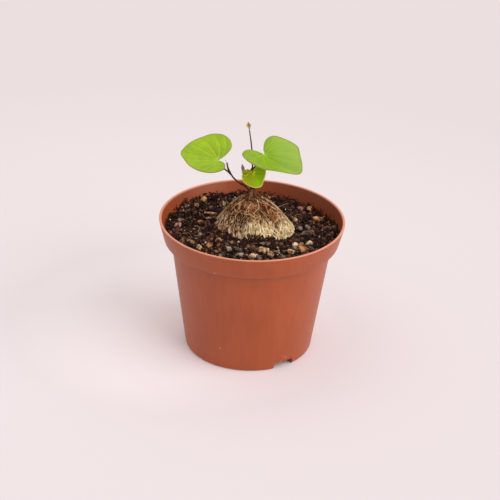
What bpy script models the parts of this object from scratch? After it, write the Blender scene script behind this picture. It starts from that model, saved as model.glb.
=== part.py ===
"""Potted tortoise plant: a young caudex in a moulded nursery pot, with its soil, grit, vine and leaves.

Run with: blender --background --python part.py
Units are metres, +Z is up, and the origin is the middle of the pot's foot on the surface it stands on.
The front, which faces -Y, is the side with the pale flank of the caudex.
"""

import math
import random

import bmesh
import bpy
from mathutils import Matrix, Vector, noise

MM = 0.001
GAP = 0.3 * MM

# Pot: a 12 cm nursery pot, 9 cm high
RIM_RADIUS = 60.0 * MM
POT_HEIGHT = 90.0 * MM
LIP_THICKNESS = 1.7 * MM
LIP_ROUND = 0.7 * MM
COLLAR_BOTTOM_RADIUS = 56.3 * MM
COLLAR_HEIGHT = 14.7 * MM
SHOULDER_RADIUS = 51.95 * MM
SHOULDER_DROP = 1.0 * MM
WALL_BASE_RADIUS = 41.9 * MM
FOOT_RADIUS = 41.0 * MM
FOOT_ROUND = 0.9 * MM
WALL_THICKNESS = 1.3 * MM
INNER_SHOULDER_DROP = 1.7 * MM
FOOT_WIDTH = 1.8 * MM
BASE_RISE = 5.2 * MM
BASE_THICKNESS = 1.4 * MM
POT_SIDES = 72

# Three gaps in the foot ring, with rounded upper corners, let water out
NOTCH_COUNT = 3
NOTCH_FIRST_DEG = -56.0
NOTCH_WIDTH = 14.3 * MM
NOTCH_HEIGHT = 4.7 * MM
NOTCH_ROUND = 1.3 * MM
NOTCH_CORNER_STEPS = 4
DRAIN_COUNT = 8
DRAIN_RADIUS = 3.2 * MM
DRAIN_CIRCLE = 29.0 * MM
DRAIN_SIDES = 12

# Soil: a peat mix heaped a little against the caudex
SOIL_LEVEL = 80.3 * MM
SOIL_SADDLE = 2.8 * MM
SOIL_SINK = 1.5 * MM
SOIL_CRUMB = 0.9 * MM
SOIL_CRUMB_SIZE = 6.0 * MM
SOIL_SEGMENTS = 72
SOIL_RINGS = 11
HEAP_HEIGHT = 1.8 * MM
HEAP_REACH = 7.0 * MM
GRAIN_COUNT = 46
GRAIN_RADIUS = (0.9 * MM, 1.7 * MM)
SEED = 31

# Caudex: a low woody cone, wider to the front right
CAUDEX_CENTRE = Vector((1.7, 7.7)) * MM
CAUDEX_RADIUS = 24.0 * MM
CAUDEX_OVAL = 1.8 * MM
CAUDEX_BULGE = 2.1 * MM
CAUDEX_SOIL = 80.0 * MM
CAUDEX_DEPTH = 11.0 * MM
CAUDEX_HEIGHT = 23.0 * MM
CAUDEX_LEAN = Vector((-1.7, 0.3)) * MM
CAUDEX_PROFILE = ((-11.0, 0.80), (-6.0, 0.93), (0.0, 1.0), (3.0, 0.93), (6.0, 0.84), (10.0, 0.71),
                  (14.0, 0.585), (18.0, 0.42), (21.0, 0.24), (23.0, 0.13))
CAUDEX_SEGMENTS = 96
CAUDEX_ROWS = 13
CAUDEX_NECK = 1.5 * MM

# Bark: ridges that sway a little and vary in depth, and a few deeper fissures, all fading at soil and crown
RIDGE_COUNT = 26
RIDGE_DEPTH = 0.9 * MM
RIDGE_SWAY = 0.12
RIDGE_SHIFT = 3.0
FISSURE_COUNT = 7
FISSURE_DEPTH = 0.8 * MM
FISSURE_SWAY = 5.0
BARK_FADE = 3.0 * MM
BARK_CROWN_FADE = 1.25

# Vine: routes by hand through the plant, each with its radius at both ends
STEM_SIDES = 7
TRUNK_STEPS = 9
TRUNK_ROUTE = ((-0.3, 8.0, 99.5), (-0.6, 8.0, 104.4), (-0.9, 8.4, 109.0), (-1.3, 9.0, 113.5),
               (-1.4, 9.6, 117.5), (-1.2, 10.0, 120.2))
TRUNK_RADII = (1.5 * MM, 0.85 * MM)
SHOOT_ROUTE = ((-1.4, 9.6, 118.0), (-1.0, 10.2, 121.4), (-1.2, 10.8, 127.5), (-1.9, 11.0, 133.7),
               (-2.5, 10.8, 138.6), (-3.2, 10.4, 143.2), (-3.8, 10.0, 147.0))
SHOOT_RADII = (0.6 * MM, 0.42 * MM)
LEFT_ROUTE = ((-1.0, 8.0, 103.6), (-2.9, 8.0, 106.0), (-5.7, 8.0, 108.8), (-9.3, 8.0, 110.9),
              (-12.6, 8.0, 113.8), (-15.4, 8.0, 117.4), (-18.6, 8.6, 119.6), (-21.6, 8.9, 122.6),
              (-22.9, 8.3, 125.3))
LEFT_RADII = (0.85 * MM, 0.5 * MM)
TWIG_ROUTE = ((-15.2, 8.0, 117.0), (-16.2, 7.9, 119.6), (-16.9, 7.7, 122.0), (-17.4, 7.6, 124.7))
TWIG_RADII = (0.75 * MM, 0.45 * MM)
RIGHT_PETIOLE_ROUTE = ((-1.2, 9.8, 118.5), (0.8, 9.8, 121.6), (3.2, 9.4, 125.2), (6.2, 8.3, 129.6))
RIGHT_PETIOLE_RADII = (0.8 * MM, 0.5 * MM)
SMALL_PETIOLE_ROUTE = ((-1.3, 9.4, 116.9), (-0.9, 8.5, 117.6), (-0.6, 7.75, 117.9))
SMALL_PETIOLE_RADII = (0.55 * MM, 0.5 * MM)

# Leaves: reach in mm from the notch in each direction in degrees, 0 towards the tip
BLADE_THICKNESS = 0.7 * MM
LEAF_COLUMNS = 26
LEAF_ROWS = 4
FOLD_SOFTNESS = 1.5 * MM
LEFT_LEAF = {
    "notch": (-23.1, 8.0, 126.2), "facing": (-101.6, 63.9), "spin": 177.5,
    "folds": (21.0, 10.5), "droop": 0.09, "cup": -0.06,
    "reach": ((-140, 2.2), (-131, 6.6), (-122, 11.8), (-106, 16.0), (-85, 19.2), (-62, 20.3),
              (-45, 20.5), (-25, 22.2), (-8, 24.0), (2, 24.4), (18, 21.2), (38, 19.2), (56, 17.4),
              (90, 14.9), (110, 13.1), (128, 11.0), (142, 8.0), (154, 5.2)),
}
RIGHT_LEAF = {
    "notch": (6.6, 8.0, 130.6), "facing": (-85.5, 65.0), "spin": -46.5,
    "folds": (16.9, 39.4), "droop": 0.22, "cup": -0.12,
    "reach": ((-170, 2.4), (-158, 5.6), (-142, 8.3), (-126, 11.7), (-112, 15.3), (-98, 19.0),
              (-80, 21.5), (-62, 23.2), (-48, 24.6), (-36, 23.6), (-22, 23.8), (-8, 26.8), (3, 29.4),
              (12, 27.2), (24, 24.2), (38, 22.0), (54, 21.2), (72, 18.6), (90, 16.5), (112, 14.9),
              (126, 12.6), (138, 8.4), (146, 3.8)),
}
SMALL_LEAF = {
    "notch": (-0.5, 6.8, 117.8), "facing": (-88.0, 32.0), "spin": -82.0,
    "folds": (-8.0, -8.0), "droop": -0.3, "cup": 0.0,
    "reach": ((-82, 2.2), (-81, 4.4), (-78, 6.2), (-73, 7.2), (-63, 7.8), (-48, 7.8), (-30, 7.9),
              (-10, 8.5), (4, 9.1), (18, 9.5), (28, 9.6), (41, 8.7), (57, 8.0), (80, 8.1), (100, 8.8),
              (115, 8.9), (128, 7.0), (137, 3.6)),
}

# New growth and buds
TUFT_CENTRE = Vector((-3.4, 7.5, 118.3)) * MM
TUFT_HALF_SIZE = Vector((3.0, 1.5, 1.1)) * MM
TUFT_LOBES = 7
TUFT_LOBE_RADIUS = 1.2 * MM
TUFT_LOBE_HEIGHTS = (1.1 * MM, 0.5 * MM)
BUD_TOP_BASE = Vector((-3.7, 10.0, 147.3)) * MM
BUD_TOP_TIP = Vector((-4.7, 10.0, 152.4)) * MM
BUD_TOP_RADIUS = 0.95 * MM
BRACT_COUNT = 4
BRACT_LENGTH = 3.4 * MM
BRACT_RADIUS = 0.6 * MM
BRACT_SPREAD = 0.45
BRACT_REACH = 0.8
BRACT_FIRST = 0.5 * MM
BRACT_STEP = 0.25 * MM
BROWN_BUD_BASE = Vector((-6.6, 7.6, 119.3)) * MM
BROWN_BUD_TIP = Vector((-7.7, 7.3, 124.2)) * MM
BROWN_BUD_RADIUS = 1.0 * MM

# Girth of a bud along its length, as the factors of a cubic, and the least girth at its tip
BUD_GIRTH = (0.45, 2.2, -3.0, 0.43)
BUD_POINT = 0.08

# Loose pieces on the soil: place, length, width, thickness in mm, turn in degrees, colour
CHIPS = {
    "chip_cream_front": (0.6, -36.2, 5.2, 4.2, 3.6, 20, "cream"),
    "chip_beige_front": (7.8, -28.8, 7.6, 4.6, 3.8, -12, "beige"),
    "chip_grey_slab": (-6.9, -35.6, 7.2, 3.6, 3.4, 5, "grey"),
    "chip_grey_round": (-13.8, -29.1, 4.6, 4.4, 3.4, 40, "grey"),
    "chip_red_front": (-2.6, -23.7, 3.6, 3.0, 2.6, 70, "rust"),
    "chip_orange_right": (33.3, -25.7, 8.6, 5.6, 4.8, -35, "orange"),
    "chip_cream_right": (27.6, -20.4, 4.2, 3.6, 3.6, 100, "cream"),
    "chip_white_right": (36.6, -17.2, 4.6, 3.4, 3.0, 30, "cream"),
    "chip_grey_right": (35.6, -3.0, 8.0, 4.8, 3.8, 15, "grey"),
    "chip_brown_right": (36.7, 7.6, 4.6, 4.2, 3.0, 80, "rust"),
    "chip_ochre_back": (42.7, 20.6, 6.0, 4.8, 3.4, 35, "orange"),
    "chip_rust_back": (38.2, 36.1, 5.0, 4.4, 3.6, 10, "rust"),
    "chip_tan_back": (-32.9, 40.7, 4.8, 4.0, 3.4, 65, "beige"),
    "chip_yellow_left": (-37.0, 32.4, 4.0, 3.4, 2.4, 25, "cream"),
    "chip_brown_left": (-33.5, 7.8, 4.4, 3.4, 2.6, 12, "rust"),
    "chip_beige_left": (-33.2, -25.6, 5.6, 4.0, 2.8, -30, "beige"),
    "chip_tan_left": (-26.1, -21.3, 5.0, 4.0, 2.8, 45, "beige"),
    "chip_grey_pebble": (-15.5, -18.8, 3.2, 2.8, 3.4, 30, "grey"),
    "chip_brown_chunk": (-21.0, -18.0, 3.8, 3.2, 3.4, 60, "rust"),
    "chip_grey_front": (-17.8, -34.4, 4.0, 3.2, 2.4, 20, "grey"),
    "chip_grey_sunk": (-7.2, -27.9, 4.8, 3.2, 2.0, 5, "grey"),
    "chip_grey_flat": (16.2, -29.5, 4.2, 2.8, 1.8, -15, "grey"),
    "chip_grey_lip": (20.3, -35.7, 4.5, 2.6, 1.8, 10, "grey"),
    "chip_tan_twist": (24.4, -29.8, 4.6, 3.6, 3.0, 50, "beige"),
    "chip_pink_left": (-47.8, 3.6, 5.0, 3.6, 2.4, 10, "beige"),
    "chip_grey_low": (30.6, 3.4, 4.0, 3.0, 2.0, 25, "grey"),
    "chip_grey_cream": (27.2, 19.0, 4.8, 3.2, 2.8, -20, "cream"),
    "chip_pink_back": (31.2, 36.6, 3.6, 2.8, 2.4, 15, "beige"),
}
CHIP_CORNERS = 15
CHIP_SUNK = 0.30
CHIP_SPREAD_DEG = 20.0
CHIP_SWELL = (0.95, 1.15)
STICKS = {
    "stick_brown": ((-31.6, 23.2), (-23.3, 21.3), 1.0 * MM, "bark"),
    "stick_pale": ((-31.2, 15.4), (-25.9, 15.8), 0.6 * MM, "beige"),
}
STICK_SIDES = 8
CHIP_PAD = 0.55 * MM
STICK_PAD = 0.4 * MM

# Colour as sRGB hex, and roughness
FINISHES = {
    "terracotta": ("#A8573F", 0.42),
    "peat": ("#2B211B", 0.95),
    "cork": ("#A98A62", 0.85),
    "bark": ("#4F3828", 0.75),
    "leaf": ("#8DB83C", 0.45),
    "young_leaf": ("#7E9A22", 0.45),
    "new_growth": ("#A9A628", 0.5),
    "husk": ("#6E5646", 0.8),
    "cream": ("#D6C49C", 0.8),
    "beige": ("#A88562", 0.85),
    "grey": ("#7C736B", 0.85),
    "rust": ("#7A4630", 0.85),
    "orange": ("#B9743F", 0.8),
}


def linear_colour(hex_text):
    """Return the linear RGBA of an sRGB hex colour."""
    channels = [int(hex_text[i:i + 2], 16) / 255.0 for i in (1, 3, 5)]
    linear = [c / 12.92 if c <= 0.04045 else ((c + 0.055) / 1.055) ** 2.4 for c in channels]
    return (*linear, 1.0)


def make_material(node_name, finish):
    """Give one sub-part its own Principled material in the named finish."""
    colour, roughness = FINISHES[finish]
    material = bpy.data.materials.new(node_name)
    material.use_nodes = True
    shader = material.node_tree.nodes["Principled BSDF"]
    shader.inputs["Base Color"].default_value = linear_colour(colour)
    shader.inputs["Roughness"].default_value = roughness
    shader.inputs["Metallic"].default_value = 0.0
    return material


def clear_scene():
    """Remove every object that the new file starts with."""
    for item in list(bpy.data.objects):
        bpy.data.objects.remove(item, do_unlink=True)


def add_object(name, bm, finish=None):
    """Turn a bmesh into a linked object, outward facing, with a material if it has a finish."""
    bmesh.ops.recalc_face_normals(bm, faces=bm.faces)
    mesh = bpy.data.meshes.new(name)
    bm.to_mesh(mesh)
    bm.free()
    if finish:
        mesh.materials.append(make_material(name, finish))
    item = bpy.data.objects.new(name, mesh)
    bpy.context.scene.collection.objects.link(item)
    return item


def add_cutter(name, bm):
    """Add a shape that only cuts others."""
    cutter = add_object(name, bm)
    cutter.hide_render = True
    cutter.display_type = "WIRE"
    return cutter


def combine(target, others, operation):
    """Apply one Boolean of a whole collection to the target, then remove the collection's objects."""
    group = bpy.data.collections.new(f"{target.name}_{operation.lower()}")
    for item in others:
        group.objects.link(item)
    boolean = target.modifiers.new(operation.title(), "BOOLEAN")
    boolean.operation = operation
    boolean.operand_type = "COLLECTION"
    boolean.collection = group
    boolean.solver = "EXACT"
    boolean.use_self = operation == "UNION"
    evaluated = target.evaluated_get(bpy.context.evaluated_depsgraph_get())
    joined = bpy.data.meshes.new_from_object(evaluated)
    target.modifiers.clear()
    target.data = joined
    for item in others:
        bpy.data.objects.remove(item, do_unlink=True)
    bpy.data.collections.remove(group)
    keep_main_body(target)


def keep_main_body(item):
    """Drop any loose scrap that a Boolean cut off, keeping the body with the most faces."""
    bm = bmesh.new()
    bm.from_mesh(item.data)
    unseen = set(bm.verts)
    bodies = []
    while unseen:
        body = {unseen.pop()}
        edge_of_search = list(body)
        while edge_of_search:
            vert = edge_of_search.pop()
            fresh = {edge.other_vert(vert) for edge in vert.link_edges} - body
            body |= fresh
            edge_of_search.extend(fresh)
        unseen -= body
        bodies.append(body)
    main = max(bodies, key=len)
    scraps = [vert for body in bodies if body is not main for vert in body]
    bmesh.ops.delete(bm, geom=scraps, context="VERTS")
    bm.to_mesh(item.data)
    bm.free()


def shade(item, angle_deg):
    """Shade a rounded piece smooth, with edges sharper than the angle kept crisp."""
    item.data.shade_smooth()
    item.data.set_sharp_from_angle(angle=math.radians(angle_deg))


def interpolate(pairs, value):
    """Read a value from (position, value) pairs along straight lines."""
    for (x0, y0), (x1, y1) in zip(pairs, pairs[1:]):
        if value <= x1:
            return y0 + (y1 - y0) * (value - x0) / (x1 - x0)
    return pairs[-1][1]


def spline(points, t):
    """Return the point at t in 0..1 of a smooth curve through the points."""
    spans = len(points) - 1
    place = min(max(t, 0.0), 1.0) * spans
    i = min(int(place), spans - 1)
    f = place - i
    p1, p2 = points[i], points[i + 1]
    p0 = points[i - 1] if i > 0 else p1 + (p1 - p2)
    p3 = points[i + 2] if i + 2 <= spans else p2 + (p2 - p1)
    return 0.5 * (2 * p1 + (p2 - p0) * f + (2 * p0 - 5 * p1 + 4 * p2 - p3) * f ** 2
                  + (3 * p1 - p0 - 3 * p2 + p3) * f ** 3)


def loft(bm, loops):
    """Skin a list of closed loops of points, all with as many points, and close both ends."""
    rings = [[bm.verts.new(point) for point in loop] for loop in loops]
    count = len(rings[0])
    for lower, upper in zip(rings, rings[1:]):
        for i in range(count):
            j = (i + 1) % count
            bm.faces.new((lower[i], lower[j], upper[j], upper[i]))
    bm.faces.new(list(reversed(rings[0])))
    bm.faces.new(rings[-1])


def circle(radius, z, sides, centre=(0.0, 0.0)):
    """Return the points of a level circle."""
    turns = [2 * math.pi * i / sides for i in range(sides)]
    return [Vector((centre[0] + radius * math.cos(a), centre[1] + radius * math.sin(a), z)) for a in turns]


def tube(bm, route, radii, sides, steps, pad=0.0):
    """Add a closed tapering tube along a smooth route given in mm.

    The pad makes it fatter, and as much longer at both ends, for a cutter.
    """
    points = [Vector(p) * MM for p in route]
    loops = []
    side = Vector((0.0, -1.0, 0.0))
    for k in range(steps + 1):
        t = k / steps
        here = spline(points, t)
        along = (spline(points, t + 0.01) - spline(points, t - 0.01)).normalized()
        if k in (0, steps):
            here = here + along * (pad if k else -pad)
        side = (side - along * side.dot(along)).normalized()
        other = along.cross(side)
        radius = radii[0] + (radii[1] - radii[0]) * t + pad
        turns = [2 * math.pi * i / sides for i in range(sides)]
        loops.append([here + radius * (side * math.cos(a) + other * math.sin(a)) for a in turns])
    loft(bm, loops)


def blob(bm, centre, half_size, turn=Matrix.Identity(3), level=2):
    """Add a closed faceted ellipsoid."""
    shape = bmesh.ops.create_icosphere(bm, subdivisions=level, radius=1.0)
    for vert in shape["verts"]:
        stretched = Vector(a * b for a, b in zip(vert.co, half_size))
        vert.co = turn @ stretched + centre


def inner_profile():
    """Return the pot's inner wall as (height, radius) pairs from the base up."""
    shoulder = POT_HEIGHT - COLLAR_HEIGHT - SHOULDER_DROP
    return ((BASE_RISE + BASE_THICKNESS, WALL_BASE_RADIUS - WALL_THICKNESS),
            (shoulder, SHOULDER_RADIUS - WALL_THICKNESS),
            (shoulder + INNER_SHOULDER_DROP, COLLAR_BOTTOM_RADIUS - WALL_THICKNESS),
            (POT_HEIGHT - LIP_ROUND, RIM_RADIUS - LIP_THICKNESS))


def outer_profile():
    """Return the pot's outline outside as (height, radius) pairs, from the foot to the lip's crown."""
    shoulder = POT_HEIGHT - COLLAR_HEIGHT - SHOULDER_DROP
    return ((0.0, FOOT_RADIUS - 0.4 * FOOT_ROUND),
            (0.4 * FOOT_ROUND, FOOT_RADIUS),
            (FOOT_ROUND, WALL_BASE_RADIUS),
            (shoulder, SHOULDER_RADIUS),
            (shoulder + 0.5 * SHOULDER_DROP, SHOULDER_RADIUS + 0.5 * SHOULDER_DROP),
            (shoulder + 0.8 * SHOULDER_DROP, COLLAR_BOTTOM_RADIUS - 0.5 * SHOULDER_DROP),
            (shoulder + 1.4 * SHOULDER_DROP, COLLAR_BOTTOM_RADIUS),
            (POT_HEIGHT - 2 * LIP_ROUND, RIM_RADIUS - 0.2 * LIP_ROUND),
            (POT_HEIGHT - LIP_ROUND, RIM_RADIUS),
            (POT_HEIGHT - 0.3 * LIP_ROUND, RIM_RADIUS - 0.3 * LIP_ROUND),
            (POT_HEIGHT, RIM_RADIUS - LIP_ROUND))


def gap_outline():
    """Return the outline, across and up, of a foot gap's cutter, with its two upper corners rounded."""
    half = NOTCH_WIDTH / 2
    outline = [(half, -NOTCH_HEIGHT)]
    for side, first in ((1, 0.0), (-1, 90.0)):
        for k in range(NOTCH_CORNER_STEPS + 1):
            turn = math.radians(first + 90.0 * k / NOTCH_CORNER_STEPS)
            outline.append((side * (half - NOTCH_ROUND) + NOTCH_ROUND * math.cos(turn),
                            NOTCH_HEIGHT - NOTCH_ROUND + NOTCH_ROUND * math.sin(turn)))
    outline.append((-half, -NOTCH_HEIGHT))
    return outline


def build_pot():
    """Turn the pot, then cut the gaps of its foot and its drain holes."""
    underside = [(BASE_RISE, FOOT_RADIUS - FOOT_WIDTH), (0.0, FOOT_RADIUS - FOOT_WIDTH)]
    crown = [(POT_HEIGHT, RIM_RADIUS - LIP_THICKNESS + LIP_ROUND)]
    inside = list(reversed(inner_profile()))
    profile = underside + list(outer_profile()) + crown + inside
    bm = bmesh.new()
    loft(bm, [circle(radius, z, POT_SIDES) for z, radius in profile])
    pot = add_object("pot", bm, "terracotta")
    cuts = bmesh.new()
    for i in range(DRAIN_COUNT):
        turn = 2 * math.pi * (i + 0.5) / DRAIN_COUNT
        centre = (DRAIN_CIRCLE * math.cos(turn), DRAIN_CIRCLE * math.sin(turn))
        top = BASE_RISE + 2 * BASE_THICKNESS
        loft(cuts, [circle(DRAIN_RADIUS, z, DRAIN_SIDES, centre) for z in (0.5 * BASE_RISE, top)])
    for i in range(NOTCH_COUNT):
        turn = Matrix.Rotation(math.radians(NOTCH_FIRST_DEG + 360.0 * i / NOTCH_COUNT), 3, "Z")
        ends = []
        for distance in (FOOT_RADIUS - 3 * FOOT_WIDTH, FOOT_RADIUS + 2 * FOOT_WIDTH):
            ends.append([turn @ Vector((distance, across, up)) for across, up in gap_outline()])
        loft(cuts, ends)
    combine(pot, [add_cutter("pot_cuts", cuts)], "DIFFERENCE")
    shade(pot, 35)
    return pot


def caudex_outline(turn):
    """Return the caudex radius at the soil in one direction, in radians from +X."""
    return CAUDEX_RADIUS + CAUDEX_OVAL * math.cos(2 * turn) - CAUDEX_BULGE * math.sin(2 * turn)


def caudex_point(turn, rise, pad=0.0, sunk=0.0):
    """Return a point of the caudex surface at a rise above the soil, moved out by pad or in by sunk."""
    radius = caudex_outline(turn) * interpolate(CAUDEX_PROFILE, rise / MM) + pad - sunk
    centre = CAUDEX_CENTRE + CAUDEX_LEAN * max(rise, 0.0) / CAUDEX_HEIGHT
    return Vector((centre.x + radius * math.cos(turn), centre.y + radius * math.sin(turn),
                   CAUDEX_SOIL + rise))


def bark_depth(turn, rise):
    """Return how deep the bark's grooves and fissures run at a place; ridges reach the full outline."""
    share = rise / CAUDEX_HEIGHT
    sway = 0.5 * noise.noise(Vector((2.0 * math.cos(turn), 2.0 * math.sin(turn), 3.0 * share)))
    groove = 0.5 + 0.5 * math.sin(RIDGE_COUNT * (turn + RIDGE_SWAY * sway) + RIDGE_SHIFT * sway)
    patchy = 0.6 + 0.4 * noise.noise(Vector((3.0 * math.cos(turn), 3.0 * math.sin(turn), 6.0 * share)))
    fissure = max(0.0, math.sin(FISSURE_COUNT * turn + FISSURE_SWAY * sway + 1.0)) ** 3
    fade = min(1.0, max(0.0, (rise + CAUDEX_NECK) / BARK_FADE)) * min(1.0, BARK_CROWN_FADE - share)
    return fade * (RIDGE_DEPTH * patchy * groove + FISSURE_DEPTH * fissure)


def build_caudex():
    """Build the ridged woody cone, rooted below the soil, with a socket for the vine at its crown."""
    rises = [-CAUDEX_DEPTH, -0.5 * CAUDEX_DEPTH]
    shown = CAUDEX_HEIGHT + CAUDEX_NECK
    rises += [shown * k / CAUDEX_ROWS - CAUDEX_NECK for k in range(CAUDEX_ROWS + 1)]
    turns = [2 * math.pi * i / CAUDEX_SEGMENTS for i in range(CAUDEX_SEGMENTS)]
    bm = bmesh.new()
    loft(bm, [[caudex_point(a, rise, sunk=bark_depth(a, rise)) for a in turns] for rise in rises])
    bmesh.ops.triangulate(bm, faces=bm.faces)
    caudex = add_object("caudex", bm, "cork")
    socket = bmesh.new()
    tube(socket, TRUNK_ROUTE[:3], (TRUNK_RADII[0], TRUNK_RADII[0]), STEM_SIDES, 6, pad=GAP)
    combine(caudex, [add_cutter("crown_socket", socket)], "DIFFERENCE")
    shade(caudex, 60)
    return caudex


def soil_height(x, y):
    """Return the soil's height at a place, without its grains."""
    saddle = -SOIL_SADDLE * x * y / RIM_RADIUS ** 2
    crumb = SOIL_CRUMB * noise.noise(Vector((x, y, 0.0)) / SOIL_CRUMB_SIZE)
    away = Vector((x, y)) - CAUDEX_CENTRE
    beyond = away.length - caudex_outline(math.atan2(away.y, away.x))
    towards_front = 0.5 - 0.5 * away.normalized().y
    heap = HEAP_HEIGHT * math.exp(-(max(beyond, 0.0) / HEAP_REACH) ** 2) * towards_front
    return SOIL_LEVEL + saddle + crumb + heap


def soil_loops():
    """Return the soil's loops: its bottom, its side in the pot, its top and the caudex's plain hole."""
    turns = [2 * math.pi * i / SOIL_SEGMENTS for i in range(SOIL_SEGMENTS)]
    wall = inner_profile()
    loops = [circle(radius - GAP, z, SOIL_SEGMENTS) for z, radius in wall[:3]]
    for point in loops[0]:
        point.z += GAP
    edge = []
    for a in turns:
        lowest = interpolate(wall, SOIL_LEVEL - 2 * SOIL_SADDLE) - GAP
        z = soil_height(lowest * math.cos(a), lowest * math.sin(a))
        radius = interpolate(wall, z) - GAP
        edge.append(Vector((radius * math.cos(a), radius * math.sin(a), z)))
    feet = [caudex_point(a, 0.0, pad=GAP) for a in turns]
    heaped = [max(soil_height(foot.x, foot.y) - CAUDEX_SOIL, GAP) for foot in feet]
    brink = [caudex_point(a, rise, pad=1.5 * GAP) for a, rise in zip(turns, heaped)]
    for k in range(SOIL_RINGS + 1):
        share = k / SOIL_RINGS
        ring = []
        for outer, inner in zip(edge, brink):
            point = outer.lerp(inner, share)
            if 0 < k < SOIL_RINGS:
                point.z = soil_height(point.x, point.y)
            ring.append(point)
        loops.append(ring)
    loops.append([caudex_point(a, 0.5 * rise, pad=1.3 * GAP) for a, rise in zip(turns, heaped)])
    for rise in (0.0, -SOIL_SINK, -0.5 * CAUDEX_DEPTH, -CAUDEX_DEPTH):
        loops.append([caudex_point(a, rise, pad=1.2 * GAP) for a in turns])
    for point in loops[-1]:
        point.z -= GAP
    return loops


def is_free(place, radius, taken):
    """Say whether a grain of that radius stays clear of the caudex, the pot and the loose pieces."""
    away = place - CAUDEX_CENTRE
    if away.length < caudex_outline(math.atan2(away.y, away.x)) + radius + 3 * GAP:
        return False
    if place.length > interpolate(inner_profile(), SOIL_LEVEL - SOIL_SADDLE) - radius - 3 * GAP:
        return False
    return all((place - spot).length > reach + radius + 2 * GAP for spot, reach in taken)


def build_soil(cutters):
    """Build the soil in the pot, fuse its seeded grains to it and sink seats for the loose pieces."""
    bm = bmesh.new()
    loft(bm, soil_loops())
    bmesh.ops.triangulate(bm, faces=bm.faces)
    soil = add_object("soil", bm, "peat")
    taken = [(Vector((x, y)) * MM, 0.5 * length * MM) for x, y, length, *_ in CHIPS.values()]
    for (start, end, _, _) in STICKS.values():
        taken += [(Vector(start).lerp(Vector(end), t) * MM, 2 * MM) for t in (0.0, 0.33, 0.66, 1.0)]
    draw = random.Random(SEED)
    grains = []
    while len(grains) < GRAIN_COUNT:
        radius = draw.uniform(*GRAIN_RADIUS)
        far = RIM_RADIUS * math.sqrt(draw.random())
        turn = draw.uniform(0.0, 2 * math.pi)
        place = Vector((far * math.cos(turn), far * math.sin(turn)))
        if not is_free(place, 1.3 * radius, taken):
            continue
        taken.append((place, 1.3 * radius))
        grain = bmesh.new()
        centre = Vector((place.x, place.y, soil_height(place.x, place.y) + 0.1 * radius))
        half_size = (1.25 * radius, radius, 0.8 * radius)
        blob(grain, centre, half_size, Matrix.Rotation(draw.uniform(0, math.pi), 3, "Z"), level=1)
        grains.append(add_object(f"grain_{len(grains)}", grain))
    combine(soil, grains, "UNION")
    combine(soil, cutters, "DIFFERENCE")
    return soil


def chip_corners(name, x, y, length, width, thickness, turn):
    """Return seeded corners of one angular chip, sunk a little into the soil."""
    draw = random.Random(f"{SEED} {name}")
    half_size = Vector((length, width, thickness)) * MM / 2
    centre = Vector((x, y, 0.0)) * MM
    centre.z = soil_height(centre.x, centre.y) + (0.5 - CHIP_SUNK) * thickness * MM * 0.5
    spin = Matrix.Rotation(math.radians(turn), 3, "Z")
    spread = math.radians(CHIP_SPREAD_DEG)
    corners = []
    for k in range(CHIP_CORNERS):
        # An even spread over the ball, each corner then moved a little
        up = 1 - 2 * (k + 0.5) / CHIP_CORNERS
        around = k * math.pi * (3 - math.sqrt(5)) + draw.uniform(-spread, spread)
        level = math.sqrt(1 - up * up)
        boxy = Vector((level * math.cos(around), level * math.sin(around), up)) * draw.uniform(*CHIP_SWELL)
        corners.append(centre + spin @ Vector(a * b for a, b in zip(boxy, half_size)))
    return corners


def hull(points):
    """Return a bmesh of the convex hull of the points."""
    bm = bmesh.new()
    for point in points:
        bm.verts.new(point)
    result = bmesh.ops.convex_hull(bm, input=bm.verts)
    inner = [item for item in result["geom_interior"] if isinstance(item, bmesh.types.BMVert)]
    bmesh.ops.delete(bm, geom=inner, context="VERTS")
    return bm


def build_chips():
    """Build the larger loose chips and return the cutters that sink their seats."""
    seats = []
    axes = [Vector(axis) * CHIP_PAD for axis in ((1, 0, 0), (0, 1, 0), (0, 0, 1))]
    for name, (*sizes, finish) in CHIPS.items():
        corners = chip_corners(name, *sizes)
        add_object(name, hull(corners), finish)
        padded = [corner + axis * sign for corner in corners for axis in axes for sign in (-1, 1)]
        seats.append(add_cutter(f"{name}_seat", hull(padded)))
    return seats


def build_sticks():
    """Build the two bits of twig that lie on the soil and return the cutters for their grooves."""
    seats = []
    for name, (start, end, radius, finish) in STICKS.items():
        route = []
        for t in (0.0, 0.5, 1.0):
            place = Vector(start).lerp(Vector(end), t) * MM
            route.append((place.x / MM, place.y / MM, (soil_height(place.x, place.y) + 0.4 * radius) / MM))
        stick = bmesh.new()
        tube(stick, route, (radius, 0.8 * radius), STICK_SIDES, 3)
        add_object(name, stick, finish)
        groove = bmesh.new()
        tube(groove, route, (radius, 0.8 * radius), STICK_SIDES, 3, pad=STICK_PAD)
        seats.append(add_cutter(f"{name}_groove", groove))
    return seats


def build_stem():
    """Build the vine: trunk, tall shoot, the left branch with its dead twig, and the petioles."""
    branches = ((SHOOT_ROUTE, SHOOT_RADII, 12),
                (LEFT_ROUTE, LEFT_RADII, 14),
                (TWIG_ROUTE, TWIG_RADII, 5),
                (RIGHT_PETIOLE_ROUTE, RIGHT_PETIOLE_RADII, 6),
                (SMALL_PETIOLE_ROUTE, SMALL_PETIOLE_RADII, 4))
    trunk = bmesh.new()
    tube(trunk, TRUNK_ROUTE, TRUNK_RADII, STEM_SIDES, TRUNK_STEPS)
    stem = add_object("stem", trunk, "bark")
    arms = []
    for k, (route, radii, steps) in enumerate(branches):
        arm = bmesh.new()
        tube(arm, route, radii, STEM_SIDES, steps)
        arms.append(add_object(f"arm_{k}", arm))
    combine(stem, arms, "UNION")
    shade(stem, 60)
    return stem


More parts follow.
